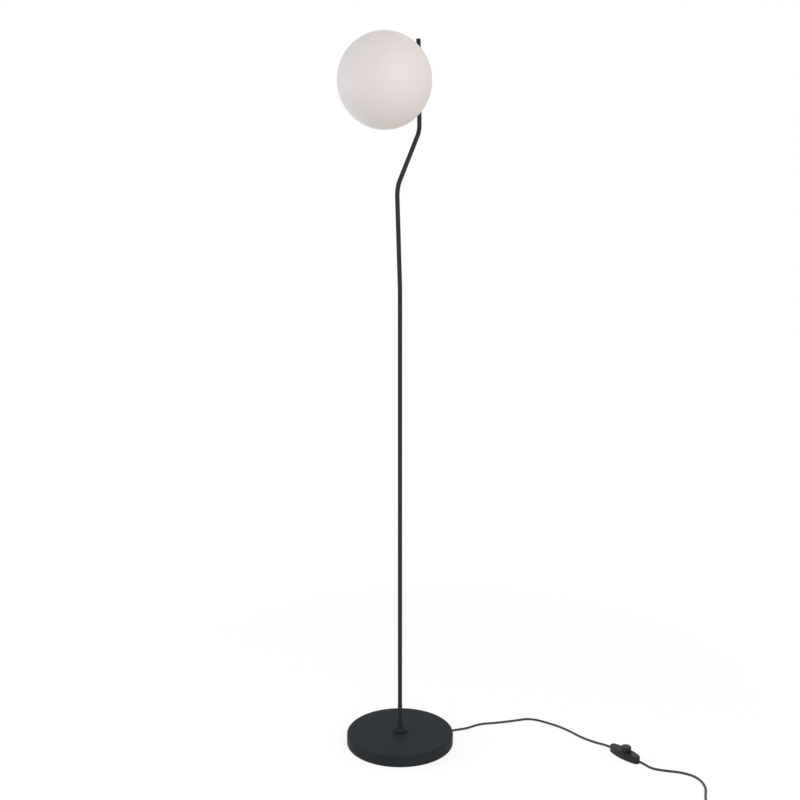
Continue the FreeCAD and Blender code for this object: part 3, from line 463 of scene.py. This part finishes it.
soft_black = new_finish("soft_black", (0.018, 0.018, 0.019), 0.6, gloss=0.4)
lay_roughness(soft_black, noise_on(soft_black, 300, 3), 0.5, 0.68)
lay_grain(soft_black, noise_on(soft_black, 800, 2), 0.00004, 0.3)
grommet = turn_piece("exit_grommet", [(grommet_bore, -neck_inside), (grommet_hole - 0.0001, -neck_inside),
                                      (grommet_hole - 0.0001, 0), (grommet_lip - 0.0002, 0)]
                     + arc_rings(grommet_lip - 0.0003, 0.0004, 0.0003, -60, 0, 4)
                     + arc_rings(grommet_lip - 0.0013, lip_thick - 0.0013, 0.0013, 0, 90, 8)
                     + arc_rings(grommet_bore + 0.0006, lip_thick - 0.0006, 0.0006, 90, 180, 6)
                     + [(grommet_bore, -neck_inside)], 48)
out_of_the_side = (Matrix.Translation((cover_radius * math.cos(cord_exit_bearing),
                                       cover_radius * math.sin(cord_exit_bearing), cord_exit_height))
                   @ Matrix.Rotation(cord_exit_bearing, 4, "Z") @ Matrix.Rotation(math.pi / 2, 4, "Y"))
place_mesh(grommet, out_of_the_side)
hand_over(grommet, "lamp", soft_black, "clear_seal", "cord_grommet")

# ---------------------------------------------------------------------------------------------
# Foot pad: a disc of dense black foam glued under the weight, so that the lamp stands without
# scratching. Its cut edge is a little rounded, and its open cells give a fine pitted skin.
pad_low, pad_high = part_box("base_pad")
pad_radius = pad_high.x
pad_edge = 0.0007
pad_foam = new_finish("black_foam", (0.022, 0.022, 0.023), 0.9, gloss=0.2)
lay_colours(pad_foam, noise_on(pad_foam, 900), (0.012, 0.012, 0.013), (0.035, 0.035, 0.036))
lay_grain(pad_foam, noise_on(pad_foam, 1600, 5), 0.0004, 0.9)
pad = turn_piece("foam_pad", [(0, pad_low.z)]
                 + arc_rings(pad_radius - pad_edge, pad_low.z + pad_edge, pad_edge, -90, 0, 6)
                 + arc_rings(pad_radius - pad_edge, pad_high.z - pad_edge, pad_edge, 0, 90, 6)
                 + [(0, pad_high.z)], 192)
hand_over(pad, "lamp", pad_foam, "foot_pad", "base_pad")

# ---------------------------------------------------------------------------------------------
# Cord inside the base: the same sheathed lead goes through a clamping block, which takes any
# pull, and its two cores end in a white terminal block under the pole.
sheath = new_finish("black_pvc", (0.020, 0.021, 0.022), 0.5, gloss=0.45)
lay_colours(sheath, noise_on(sheath, 40, 3), (0.017, 0.018, 0.019), (0.027, 0.028, 0.030))
lay_roughness(sheath, noise_on(sheath, 500, 3), 0.42, 0.58)
lay_grain(sheath, noise_on(sheath, 900, 2), 0.00005, 0.3)
coat(sheath, "base_lead")

black_plastic = new_finish("black_plastic", (0.0095, 0.0110, 0.0120), 0.42, gloss=0.25)
lay_roughness(black_plastic, noise_on(black_plastic, 260, 3), 0.36, 0.50)
lay_grain(black_plastic, noise_on(black_plastic, 1300, 2), 0.00005, 0.35)
coat(black_plastic, "cord_stop", "cord_clamps", "switch_base", "cord_tie", "plug_boot", "plug_body",
     "pin_sleeves")

white_plastic = new_finish("white_plastic", (0.78, 0.77, 0.74), 0.4)
lay_colours(white_plastic, noise_on(white_plastic, 60, 3), (0.74, 0.73, 0.70), (0.80, 0.79, 0.77))
lay_grain(white_plastic, noise_on(white_plastic, 900, 2), 0.00004, 0.3)
coat(white_plastic, "terminal_block", "spring_seat", "contact_rotor", "bulb_housing")

brown_core = new_finish("brown_core", (0.085, 0.028, 0.012), 0.45)
lay_colours(brown_core, noise_on(brown_core, 80, 2), (0.075, 0.024, 0.010), (0.100, 0.034, 0.015))
coat(brown_core, "wire_live", "switch_cores")
blue_core = new_finish("blue_core", (0.02, 0.06, 0.28), 0.45)
lay_colours(blue_core, noise_on(blue_core, 80, 2), (0.016, 0.050, 0.24), (0.024, 0.070, 0.32))
coat(blue_core, "wire_neutral")
pair_of_cores = new_finish("pair_of_cores", (0.085, 0.028, 0.012), 0.45)
coat(pair_of_cores, "lead_cores")

# ---------------------------------------------------------------------------------------------
# Pole, lower and middle tubes: 10 mm steel tube, cut square with a small chamfer, counterbored
# at both ends for the hollow studs that join them. Charcoal lacquer, smoother than the base.
pole_radius = 0.005
pole_bore = 0.0035
stud_socket = 0.004
socket_depth = 0.0125
tube_chamfer = 0.0004

lacquer = new_finish("charcoal_lacquer", (0.0260, 0.0270, 0.0300), 0.55, gloss=0.10)
lay_colours(lacquer, noise_on(lacquer, 22, 2), (0.0250, 0.0260, 0.0290), (0.0270, 0.0280, 0.0310))
lay_roughness(lacquer, noise_on(lacquer, 400, 3), 0.52, 0.60)
lay_grain(lacquer, noise_on(lacquer, 300, 1), 0.00002, 0.08)

for name, tube_name in (("tube_lower", "pole_lower"), ("tube_middle", "pole_middle")):
    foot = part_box(name)[0].z
    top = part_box(name)[1].z
    tube = turn_piece(tube_name, [
        (stud_socket, foot), (pole_radius - tube_chamfer, foot), (pole_radius, foot + tube_chamfer),
        (pole_radius, top - tube_chamfer), (pole_radius - tube_chamfer, top), (stud_socket, top),
        (stud_socket, top - socket_depth), (pole_bore, top - socket_depth),
        (pole_bore, foot + socket_depth), (stud_socket, foot + socket_depth), (stud_socket, foot)], 64)
    hand_over(tube, "lamp", lacquer, "pole_paint", name)

# ---------------------------------------------------------------------------------------------
# Pole, upper tube: leans a little towards the globe, is bent out and back again on a tube
# bender, so that it passes behind the globe, and ends above it. Same tube and lacquer.
upper_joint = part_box("tube_middle")[1].z
lean_start = 0.024
lean = math.radians(2.8)
lean_radius = 0.400
lower_bend_rise = 0.243
lower_bend_radius = 0.060
bend_rise = 0.1267
slant = math.radians(32.9)
upper_bend_radius = 0.046
top_rise = 0.193
top_lean = math.radians(1.4)
head_rise = 0.0913
upper_wall = 0.001

# each leg: its lean towards the back, and its length from corner to corner; each corner's radius
legs = [(0, lean_start), (-lean, (lower_bend_rise - lean_start) / math.cos(lean)),
        (slant, bend_rise / math.cos(slant)), (-top_lean, top_rise / math.cos(top_lean))]
corner_radii = [lean_radius, lower_bend_radius, upper_bend_radius]
bpy.ops.object.select_all(action="DESELECT")
bpy.ops.mesh.primitive_circle_add(vertices=64, radius=pole_radius, location=(0, 0, upper_joint))
upper_tube = bpy.context.object
upper_tube.name = "pole_upper"
bpy.ops.object.transform_apply(location=True, rotation=True, scale=True)
bpy.ops.object.mode_set(mode="EDIT")
bpy.ops.mesh.select_mode(type="EDGE")
bpy.ops.mesh.select_all(action="SELECT")
here = Vector((0, 0, upper_joint))
used = 0.0
for number, (heading, length) in enumerate(legs):
    ahead = Vector((0, math.sin(heading), math.cos(heading)))
    if number < len(corner_radii):
        turn = legs[number + 1][0] - heading
        cut_off = corner_radii[number] * math.tan(abs(turn) / 2)
    else:
        turn = 0.0
        cut_off = 0.0
    straight = ahead * (length - used - cut_off)
    bpy.ops.mesh.extrude_edges_move(TRANSFORM_OT_translate={"value": straight})
    here += straight
    used = cut_off
    if turn:
        side = math.copysign(1.0, turn)
        sideways = Vector((0, math.cos(heading), -math.sin(heading))) * side
        pivot = here + sideways * corner_radii[number]
        bpy.ops.mesh.spin(steps=max(6, int(abs(math.degrees(turn)) / 1.5)), angle=turn, center=pivot,
                          axis=(1, 0, 0))
        here = pivot + Matrix.Rotation(-turn, 3, "X") @ (here - pivot)
bpy.ops.object.mode_set(mode="OBJECT")
tube_top = here
top_ahead = Vector((0, -math.sin(top_lean), math.cos(top_lean)))
head_point = tube_top - top_ahead * ((top_rise - head_rise) / math.cos(top_lean))
finish_mesh(upper_tube, 50)
wall = upper_tube.modifiers.new("wall", "SOLIDIFY")
wall.thickness = upper_wall
wall.offset = -1
wall.use_even_offset = True
apply_modifiers(upper_tube)


def drill(piece, radius, start, end):
    """A round hole right through, between two points."""
    middle = (Vector(start) + Vector(end)) / 2
    length = (Vector(end) - Vector(start)).length
    turn = (Vector(end) - Vector(start)).to_track_quat("Z", "Y").to_euler()
    bpy.ops.mesh.primitive_cylinder_add(vertices=64, radius=radius, depth=length, location=middle,
                                        rotation=turn)
    bit = bpy.context.object
    hole = piece.modifiers.new("hole", "BOOLEAN")
    hole.object = bit
    hole.operation = "DIFFERENCE"
    hole.solver = "EXACT"
    apply_modifiers(piece)
    bpy.data.objects.remove(bit)


wire_hole = 0.0028         # where the wires leave the pole for the head
drill_reach = 0.02         # takes the bit well past the wall
drill(upper_tube, wire_hole, head_point, head_point - Vector((0, drill_reach, 0)))
finish_mesh(upper_tube, 40)
hand_over(upper_tube, "lamp", lacquer, "pole_paint", "tube_upper")

# ---------------------------------------------------------------------------------------------
# End cap: a flat black plug pushed into the top of the pole, its edge just broken.
cap_thick = 0.0016
plug_depth = 0.006
end_cap = turn_piece("pole_end_cap", [(0, -plug_depth), (pole_bore - 0.0002, -plug_depth),
                                      (pole_bore - 0.0001, 0), (pole_radius - 0.0001, 0),
                                      (pole_radius, 0.0001)]
                     + arc_rings(pole_radius - 0.0005, cap_thick - 0.0005, 0.0005, 0, 90, 6)
                     + [(0, cap_thick)], 64)
place_mesh(end_cap, Matrix.Translation(tube_top) @ Matrix.Rotation(top_lean, 4, "X"))
hand_over(end_cap, "lamp", black_plastic, "black_plastic", "tube_end_cap")

# ---------------------------------------------------------------------------------------------
# Head boss: a short turned steel block that the pole passes through, held by a grub screw from
# behind. Its front face carries the cup. Coated like the base.
# From here on to the globe, pieces are turned about Z, with the pole at 0, and then laid forward.
at_head = Matrix.Translation(head_point) @ Matrix.Rotation(math.pi / 2, 4, "X")
boss_radius = 0.010
boss_back = -0.008
boss_front = 0.012
thread_radius = 0.005
grub_radius = 0.0025

boss = turn_piece("head_block", [(grub_radius, boss_back), (boss_radius - 0.0015, boss_back)]
                  + arc_rings(boss_radius - 0.0015, boss_back + 0.0015, 0.0015, -90, 0, 8)
                  + [(boss_radius, boss_front - 0.0003), (boss_radius - 0.0003, boss_front),
                     (thread_radius, boss_front), (thread_radius, 0), (grub_radius, 0),
                     (grub_radius, boss_back)])
place_mesh(boss, at_head)
drill(boss, pole_radius + 0.0001, head_point - top_ahead * drill_reach,
      head_point + top_ahead * drill_reach)
finish_mesh(boss)
hand_over(boss, "lamp", powder, "black_paint", "head_boss")
coat(zinc, "grub_screw")

# ---------------------------------------------------------------------------------------------
# Cup: a shallow dish pressed from 1.2 mm steel, screwed to the boss. The globe's neck turns
# into it. Same charcoal coat, with a bead rolled along the rim.
cup_radius = 0.032
cup_wall = 0.0012
cup_edge = 0.003
cup_rim = 0.0255
cup_inside = boss_front + cup_wall
cup = turn_piece("globe_cup", [(thread_radius, boss_front), (cup_radius - cup_edge, boss_front)]
                 + arc_rings(cup_radius - cup_edge, boss_front + cup_edge, cup_edge, -90, 0, 10)
                 + arc_rings(cup_radius - cup_wall / 2, cup_rim - cup_wall / 2, cup_wall / 2, 0, 180, 10)
                 + arc_rings(cup_radius - cup_edge, boss_front + cup_edge, cup_edge - cup_wall, 0, -90, 8)
                 + [(thread_radius, cup_inside), (thread_radius, boss_front)], 128)
place_mesh(cup, at_head)
hand_over(cup, "lamp", powder, "black_paint", "shade_cup")

# ---------------------------------------------------------------------------------------------
# Lampholder: a black moulded cap and a threaded skirt round a glazed porcelain core, with a
# brass screw shell and a centre contact.
holder_radius = 0.0135
holder_wall = 0.0016
skirt_foot, skirt_end = 0.0292, 0.0602
thread_pitch = 0.0024
skirt = [(holder_radius - holder_wall, skirt_foot), (holder_radius, skirt_foot),
         (holder_radius, skirt_foot + 0.004)]
turns = 8
for number in range(turns):
    start = skirt_foot + 0.004 + number * thread_pitch
    skirt += [(holder_radius - 0.0007, start + 0.0004), (holder_radius - 0.0007, start + 0.0008),
              (holder_radius, start + 0.0014), (holder_radius, start + thread_pitch)]
skirt += arc_rings(holder_radius - 0.001, skirt_end - 0.001, 0.001, 0, 90, 6)
skirt += [(holder_radius - holder_wall, skirt_end), (holder_radius - holder_wall, skirt_foot)]
holder = turn_piece("holder_thread", skirt, 72)
place_mesh(holder, at_head)
hand_over(holder, "lamp", black_plastic, "black_plastic", "holder_skirt")
coat(black_plastic, "holder_cap")

porcelain = new_finish("porcelain", (0.76, 0.73, 0.66), 0.16, gloss=0.6)
lay_colours(porcelain, noise_on(porcelain, 120, 3), (0.73, 0.70, 0.63), (0.78, 0.75, 0.69))
coat(porcelain, "holder_core")
brass = new_finish("brass", (0.60, 0.43, 0.16), 0.28, metallic=1.0)
lay_colours(brass, noise_on(brass, 90, 4), (0.54, 0.37, 0.13), (0.66, 0.49, 0.20))
lay_roughness(brass, noise_on(brass, 300, 3), 0.22, 0.36)
coat(brass, "screw_shell", "centre_contact", "switch_terminals")

# ---------------------------------------------------------------------------------------------
# Bulb: an opal LED ball lamp. Its nickel cap has a rolled thread, and a glass bead with a lead
# contact closes it; above are a white housing and a satin diffuser.
nickel = new_finish("nickel_plate", (0.60, 0.58, 0.53), 0.2, metallic=1.0)
lay_roughness(nickel, noise_on(nickel, 260, 3), 0.14, 0.26)
coat(nickel, "bulb_tip", "plug_pins")
cap_radius = 0.0069
cap_foot, cap_end = 0.0365, 0.0545
cap_pitch = 0.00282
rolled = [(0, cap_foot), (0.0056, cap_foot), (cap_radius - 0.0006, cap_foot + 0.002)]
for number in range(5):
    start = cap_foot + 0.002 + number * cap_pitch
    rolled += [(cap_radius - 0.0006 * (1 + math.cos(math.pi * step / 4)) / 2, start + cap_pitch * step / 8)
               for step in range(1, 9)]
rolled += [(cap_radius, cap_end), (0, cap_end)]
bulb_cap = turn_piece("bulb_screw_cap", rolled, 64)
place_mesh(bulb_cap, at_head)
hand_over(bulb_cap, "lamp", nickel, "nickel", "bulb_cap")
diffuser = new_finish("bulb_diffuser", (0.84, 0.84, 0.82), 0.35)
diffuser.node_tree.nodes["Principled BSDF"].inputs["Subsurface Weight"].default_value = 0.4
diffuser.node_tree.nodes["Principled BSDF"].inputs["Subsurface Scale"].default_value = 0.004
lay_grain(diffuser, noise_on(diffuser, 700, 2), 0.00003, 0.2)
coat(diffuser, "bulb_envelope")

# ---------------------------------------------------------------------------------------------
# Gasket: a soft pale ring of silicone on the cup's floor, which the end of the glass neck turns
# against. Its edges are rounded and it is a little dished where the glass has sat.
gasket_outer = 0.0285
gasket_inner = 0.0242
gasket_thick = 0.003
silicone = new_finish("silicone", (0.62, 0.62, 0.60), 0.55, gloss=0.4)
silicone.node_tree.nodes["Principled BSDF"].inputs["Subsurface Weight"].default_value = 0.3
silicone.node_tree.nodes["Principled BSDF"].inputs["Subsurface Scale"].default_value = 0.002
lay_colours(silicone, noise_on(silicone, 150, 3), (0.58, 0.58, 0.56), (0.66, 0.66, 0.64))
lay_grain(silicone, noise_on(silicone, 900, 2), 0.00003, 0.25)
gasket_top = cup_inside + gasket_thick
gasket = turn_piece("soft_gasket", arc_rings(gasket_outer - 0.0006, cup_inside + 0.0006, 0.0006, -90, 0, 5)
                    + arc_rings(gasket_outer - 0.0005, gasket_top - 0.0005, 0.0005, 0, 90, 5)
                    + [((gasket_outer + gasket_inner) / 2 + 0.0006, gasket_top - 0.00006),
                       ((gasket_outer + gasket_inner) / 2 - 0.0006, gasket_top - 0.00006)]
                    + arc_rings(gasket_inner + 0.0005, gasket_top - 0.0005, 0.0005, 90, 180, 5)
                    + arc_rings(gasket_inner + 0.0006, cup_inside + 0.0006, 0.0006, 180, 270, 5)
                    + [(gasket_outer - 0.0006, cup_inside)], 96)
place_mesh(gasket, at_head)
hand_over(gasket, "gasket", silicone, "silicone", "globe_gasket")

# ---------------------------------------------------------------------------------------------
# Globe: mouth-blown opal glass, 200 mm, etched to a satin skin, with a short neck towards the
# pole. It is white right through, so it looks dense and only just soft at its edge.
globe_radius = 0.100
globe_distance = 0.123
glass_wall = 0.0028
neck_radius = 0.0285
neck_end = 0.0163
neck_blend = 0.003
neck_edge = 0.0008

blend_reach = neck_radius + neck_blend
drop = math.sqrt((globe_radius + neck_blend) ** 2 - blend_reach ** 2)
touch_angle = math.degrees(math.atan2(drop, blend_reach))
touch_height = globe_distance - drop * globe_radius / (globe_radius + neck_blend)
bpy.ops.object.select_all(action="DESELECT")
bpy.ops.mesh.primitive_uv_sphere_add(segments=192, ring_count=96, radius=globe_radius,
                                     location=(0, 0, globe_distance))
globe = bpy.context.object
globe.name = "opal_globe"
bpy.ops.object.transform_apply(location=True, rotation=True, scale=True)
bpy.ops.object.mode_set(mode="EDIT")
bpy.ops.mesh.select_mode(type="EDGE")
bpy.ops.mesh.select_all(action="SELECT")
bpy.ops.mesh.bisect(plane_co=(0, 0, touch_height), plane_no=(0, 0, 1), clear_inner=True)
pick("EDGE", lambda middle: middle.z < touch_height + 0.00001)
blend = arc_rings(blend_reach, globe_distance - drop, neck_blend, touch_angle, 180, 10)
draw_out(blend[1:] + [(neck_radius, neck_end + neck_edge)]
         + arc_rings(neck_radius - neck_edge, neck_end + neck_edge, neck_edge, 0, -90, 5), *blend[0])
bpy.ops.object.mode_set(mode="OBJECT")
wall = globe.modifiers.new("wall", "SOLIDIFY")
wall.thickness = glass_wall
wall.offset = -1
wall.use_even_offset = True
apply_modifiers(globe)
finish_mesh(globe, 60)
place_mesh(globe, at_head)

opal = new_finish("opal_glass", (0.80, 0.73, 0.715), 0.42, gloss=0.25)
opal_shader = opal.node_tree.nodes["Principled BSDF"]
opal_shader.inputs["Subsurface Weight"].default_value = 0.55
opal_shader.inputs["Subsurface Radius"].default_value = (1.0, 0.8, 0.7)
opal_shader.inputs["Subsurface Scale"].default_value = 0.012
lay_colours(opal, noise_on(opal, 7, 1), (0.795, 0.725, 0.710), (0.805, 0.735, 0.720))
lay_roughness(opal, noise_on(opal, 160, 3), 0.40, 0.46)
lay_grain(opal, noise_on(opal, 2200, 2), 0.00002, 0.2)
hand_over(globe, "globe", opal, "opal_glass", "glass_globe")

# ---------------------------------------------------------------------------------------------
# Globe collar: a white moulded ring cemented round the glass neck. Its low thread turns into
# the cup, so that the globe can be taken off to change the bulb.
collar_inner = neck_radius + 0.0001
collar_outer = collar_inner + 0.002
ring_foot = neck_end + 0.0006
ring_top = ring_foot + 0.008
ring_pitch = 0.0022
thread = [(collar_inner, ring_foot), (collar_outer - 0.0010, ring_foot)]
for number in range(3):
    start = ring_foot + 0.0008 + number * ring_pitch
    thread += [(collar_outer - 0.0007, start), (collar_outer, start + 0.0006), (collar_outer, start + 0.0012),
               (collar_outer - 0.0007, start + 0.0018)]
thread += [(collar_outer - 0.0010, ring_top), (collar_inner, ring_top), (collar_inner, ring_foot)]
neck_ring = turn_piece("globe_screw_ring", thread, 128)
place_mesh(neck_ring, at_head)
hand_over(neck_ring, "globe", white_plastic, "white_plastic", "globe_collar")

# ---------------------------------------------------------------------------------------------
# Foot switch, housing: two satin black mouldings with a fine seam between them, oval in plan,
# the upper one's edge well rounded. They are held together by two screws from below.
switch_place = Vector((0.4527, 0.2499, 0))
switch_turn = math.radians(-16.3)
switch_half_length = 0.041
switch_half_width = 0.014
switch_end_radius = 0.009
switch_height = 0.0165
switch_wall = 0.0018
switch_edge = 0.0026
seam_height = 0.0065
seam_edge = 0.0003
button_along = 0.0034
button_hole = 0.0115
at_switch = Matrix.Translation(switch_place) @ Matrix.Rotation(switch_turn, 4, "Z")
at_button = at_switch @ Matrix.Translation((button_along, 0, 0))


def oval_plate(name, height):
    """The housing's outline: one corner, spun through four arcs that run into each other."""
    middle = switch_half_length - switch_end_radius
    widening = switch_half_width - switch_end_radius
    side_radius = (middle ** 2 + switch_half_width ** 2 - switch_end_radius ** 2) / (2 * widening)
    swing = math.atan2(middle, side_radius - switch_half_width)
    inward = side_radius - switch_half_width
    bpy.ops.object.select_all(action="DESELECT")
    bpy.ops.mesh.primitive_plane_add(size=0.001, location=(0, 0, 0))
    plate = bpy.context.object
    plate.name = name
    bpy.ops.object.mode_set(mode="EDIT")
    bpy.ops.mesh.select_mode(type="VERT")
    bpy.ops.mesh.select_all(action="SELECT")
    bpy.ops.mesh.merge(type="CENTER")
    bpy.ops.transform.translate(value=(middle + switch_end_radius * math.sin(swing),
                                       switch_end_radius * math.cos(swing), height))
    for pivot, angle, steps in (((0, -inward), 2 * swing, 36), ((-middle, 0), math.pi - 2 * swing, 24),
                                ((0, inward), 2 * swing, 36), ((middle, 0), math.pi - 2 * swing, 24)):
        bpy.ops.mesh.spin(steps=steps, angle=-angle, center=(*pivot, height), axis=(0, 0, 1))
    bpy.ops.mesh.select_all(action="SELECT")
    bpy.ops.mesh.remove_doubles(threshold=0.00001)
    bpy.ops.mesh.select_all(action="SELECT")
    bpy.ops.mesh.edge_face_add()
    return plate


housing = oval_plate("switch_housing_upper", seam_height)
bpy.ops.mesh.extrude_region_move(TRANSFORM_OT_translate={"value": (0, 0, switch_height - seam_height)})
pick("EDGE", lambda middle: middle.z > switch_height - 0.00001)
bpy.ops.mesh.bevel(offset=switch_edge, segments=8, affect="EDGES")
pick("EDGE", lambda middle: middle.z < seam_height + 0.00001)
bpy.ops.mesh.bevel(offset=seam_edge, segments=2, affect="EDGES")
pick("FACE", lambda middle: middle.z < seam_height + 0.00001)
bpy.ops.mesh.delete(type="FACE")
bpy.ops.object.mode_set(mode="OBJECT")
wall = housing.modifiers.new("wall", "SOLIDIFY")
wall.thickness = switch_wall
wall.offset = -1
apply_modifiers(housing)
# two posts under the roof take the screws; they stand diagonally, clear of the button
post_x, post_y = 0.0270, 0.0062
post_radius = 0.0024
post_bore = 0.0013
post_foot = 0.0021
housing_roof = switch_height - switch_wall
post_top = housing_roof + 0.0003
bore_end = housing_roof - switch_wall
for side in (-1, 1):
    post = turn_piece("screw_post", [(0, bore_end), (post_bore, bore_end), (post_bore, post_foot),
                                     (post_radius, post_foot), (post_radius, post_top), (0, post_top)], 32)
    place_mesh(post, Matrix.Translation((side * post_x, side * post_y, 0)))
    fuse = housing.modifiers.new("post", "BOOLEAN")
    fuse.object = post
    fuse.operation = "UNION"
    fuse.solver = "EXACT"
    apply_modifiers(housing)
    bpy.data.objects.remove(post)
drill(housing, button_hole, (button_along, 0, seam_height), (button_along, 0, switch_height + 0.01))
cord_hole_from, cord_hole_to = 0.0325, 0.0600
for side in (-1, 1):
    drill(housing, grommet_bore, (side * cord_hole_from, 0, cord_exit_height),
          (side * cord_hole_to, 0, cord_exit_height))
finish_mesh(housing, 32)
place_mesh(housing, at_switch)
hand_over(housing, "lamp", black_plastic, "black_plastic", "switch_cover")

# ---------------------------------------------------------------------------------------------
# Foot switch, button: a tall round cap on a spring, its edge rounded for the shoe, with a
# collar below that the housing holds back.
button_radius = 0.0112
button_top = 0.0275
button_edge = 0.0016
button_wall = 0.0016
stem_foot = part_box("switch_button")[0].z
edge_start = button_top - button_edge - 0.0002
stem_radius = 0.0022
flange_top = switch_height - switch_wall - 0.0003
flange_foot = flange_top - 0.0012
flange_radius = button_radius + 0.0008
button_ceiling = button_top - button_wall
button = turn_piece("switch_cap", [(0, stem_foot), (stem_radius - 0.0002, stem_foot),
                                   (stem_radius, stem_foot + 0.0002), (stem_radius, button_ceiling),
                                   (button_radius - button_wall, button_ceiling),
                                   (button_radius - button_wall, flange_foot), (flange_radius, flange_foot),
                                   (flange_radius, flange_top), (button_radius, flange_top),
                                   (button_radius, edge_start)]
                    + arc_rings(button_radius - button_edge, edge_start, button_edge, 0, 82, 10)
                    + [(0.0070, button_top - 0.00006), (0.0035, button_top), (0, button_top)], 96)
place_mesh(button, at_button)
hand_over(button, "button", black_plastic, "black_plastic", "switch_button")

# ---------------------------------------------------------------------------------------------
# Foot switch, spring: seven turns of plated wire between the seat and the button.
spring_low, spring_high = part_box("switch_spring")
wire_radius = 0.0004
spring_radius = 0.0036
spring_turns = 7
steps_per_turn = 24
bpy.ops.object.select_all(action="DESELECT")
bpy.ops.mesh.primitive_circle_add(vertices=12, radius=wire_radius, rotation=(math.pi / 2, 0, 0),
                                  location=(spring_radius, 0, spring_low.z + wire_radius))
spring = bpy.context.object
spring.name = "button_spring"
bpy.ops.object.transform_apply(location=True, rotation=True, scale=True)
winding = spring.modifiers.new("winding", "SCREW")
winding.axis = "Z"
winding.angle = 2 * math.pi
winding.iterations = spring_turns
winding.screw_offset = (spring_high.z - spring_low.z - 2 * wire_radius) / spring_turns
winding.steps = steps_per_turn
winding.render_steps = steps_per_turn
apply_modifiers(spring)
bpy.ops.object.mode_set(mode="EDIT")
bpy.ops.mesh.select_all(action="SELECT")
bpy.ops.mesh.fill_holes(sides=0)
bpy.ops.object.mode_set(mode="OBJECT")
finish_mesh(spring, 60)
place_mesh(spring, at_button)
spring.data.materials.append(zinc)
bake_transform(spring)
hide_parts("switch_spring")

# ---------------------------------------------------------------------------------------------
# Cord, at real length. Soft round two-core lead, 5.4 mm, in black PVC with a faint sheen. It
# leaves the base, runs to the foot switch, and goes on from there, out of the view.
lead_diameter = 0.0054
lead_to_switch = [
    (0.0710, 0.1053, 0.0065), (0.0824, 0.1222, 0.0065), (0.0910, 0.1455, 0.0029),
    (0.1040, 0.1860, 0.0027), (0.1310, 0.2120, 0.0027), (0.1610, 0.2500, 0.0027),
    (0.1860, 0.2850, 0.0027), (0.2330, 0.2900, 0.0027), (0.2820, 0.2870, 0.0027),
    (0.3350, 0.2700, 0.0027), (0.3730, 0.2675, 0.0027), (0.4015, 0.2649, 0.0065),
    (0.4215, 0.2590, 0.0065)]
lead_from_switch = [
    (0.4839, 0.2408, 0.0065), (0.5031, 0.2352, 0.0065), (0.5240, 0.2320, 0.0027),
    (0.5510, 0.2395, 0.0027), (0.5860, 0.2565, 0.0027), (0.6220, 0.2560, 0.0027),
    (0.6510, 0.2280, 0.0027), (0.6640, 0.1880, 0.0027), (0.6840, 0.1430, 0.0027),
    (0.7004, 0.1168, 0.0036), (0.7128, 0.1003, 0.0036)]
# the tail is set out from the coil's start: along, across and up
lead_tail = [
    (0.0054, -0.002975, 0.00955), (0.0240, -0.002975, 0.00955), (0.0490, -0.0010, 0.0028),
    (0.0720, 0.0110, 0.0027), (0.0820, 0.0340, 0.00685), (0.0820, 0.0580, 0.00685)]


def lay_lead(name, points):
    """A round lead on one smooth curve, with the route's points as its control points."""
    curve = bpy.data.curves.new(name, "CURVE")
    curve.dimensions = "3D"
    spline = curve.splines.new("NURBS")
    spline.points.add(len(points) - 1)
    for control, place in zip(spline.points, points):
        control.co = (*place, 1)
    spline.order_u = 3
    spline.use_endpoint_u = True
    spline.resolution_u = 10
    curve.bevel_depth = lead_diameter / 2
    curve.bevel_resolution = 6
    curve.use_fill_caps = True
    lead = bpy.data.objects.new(name, curve)
    bpy.context.scene.collection.objects.link(lead)
    curve.materials.append(sheath)
    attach(lead, "lamp")
    return lead


first_lead = lay_lead("lead_base_to_switch", lead_to_switch)
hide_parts("cord_to_switch")

# Put away, as for storage: five turns in two layers, in on the floor and out again on top.
coil_start = Vector((0.716, 0.096, 0))
coil_turn = Matrix.Rotation(math.radians(-53), 4, "Z")
coil_radius = 0.0345
coil_inner = 0.0217
coil_pitch = 0.00595
coil_floor = 0.0036
points_per_half_turn = 12
half_pitch = coil_pitch / 2
going_in = [coil_radius - half_pitch * step for step in range(4)]
coil_radii = going_in + [coil_inner, coil_inner] + going_in[::-1] + [coil_radius + half_pitch]
climb = 4


def at_coil(along, across, height):
    """From the coil's start, along and across its heading, to the lamp's own axes."""
    return tuple(coil_start + coil_turn @ Vector((along, -across, height)))


lead_points = list(lead_from_switch)
swell = 1 / math.cos(math.pi / (2 * points_per_half_turn))
for half, (radius, next_radius) in enumerate(zip(coil_radii, coil_radii[1:])):
    side = 1 if half % 2 == 0 else -1
    for step in range(points_per_half_turn):
        share_round = step / points_per_half_turn
        swing = math.pi * share_round
        here = (radius + (next_radius - radius) * share_round) * swell
        if half < climb:
            level = coil_floor
        elif half > climb:
            level = coil_floor + coil_pitch
        else:
            level = coil_floor + coil_pitch * (1 - math.cos(swing)) / 2
        lead_points.append(at_coil(side * here * math.sin(swing),
                                   coil_radius - side * here * math.cos(swing), level))
lead_points.append(at_coil(0, coil_radius - coil_radii[-1] * swell, coil_floor + coil_pitch))
lead_points += [at_coil(*place) for place in lead_tail]
second_lead = lay_lead("lead_switch_to_plug", lead_points)
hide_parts("cord_from_switch", "cord_coil", "cord_tail")
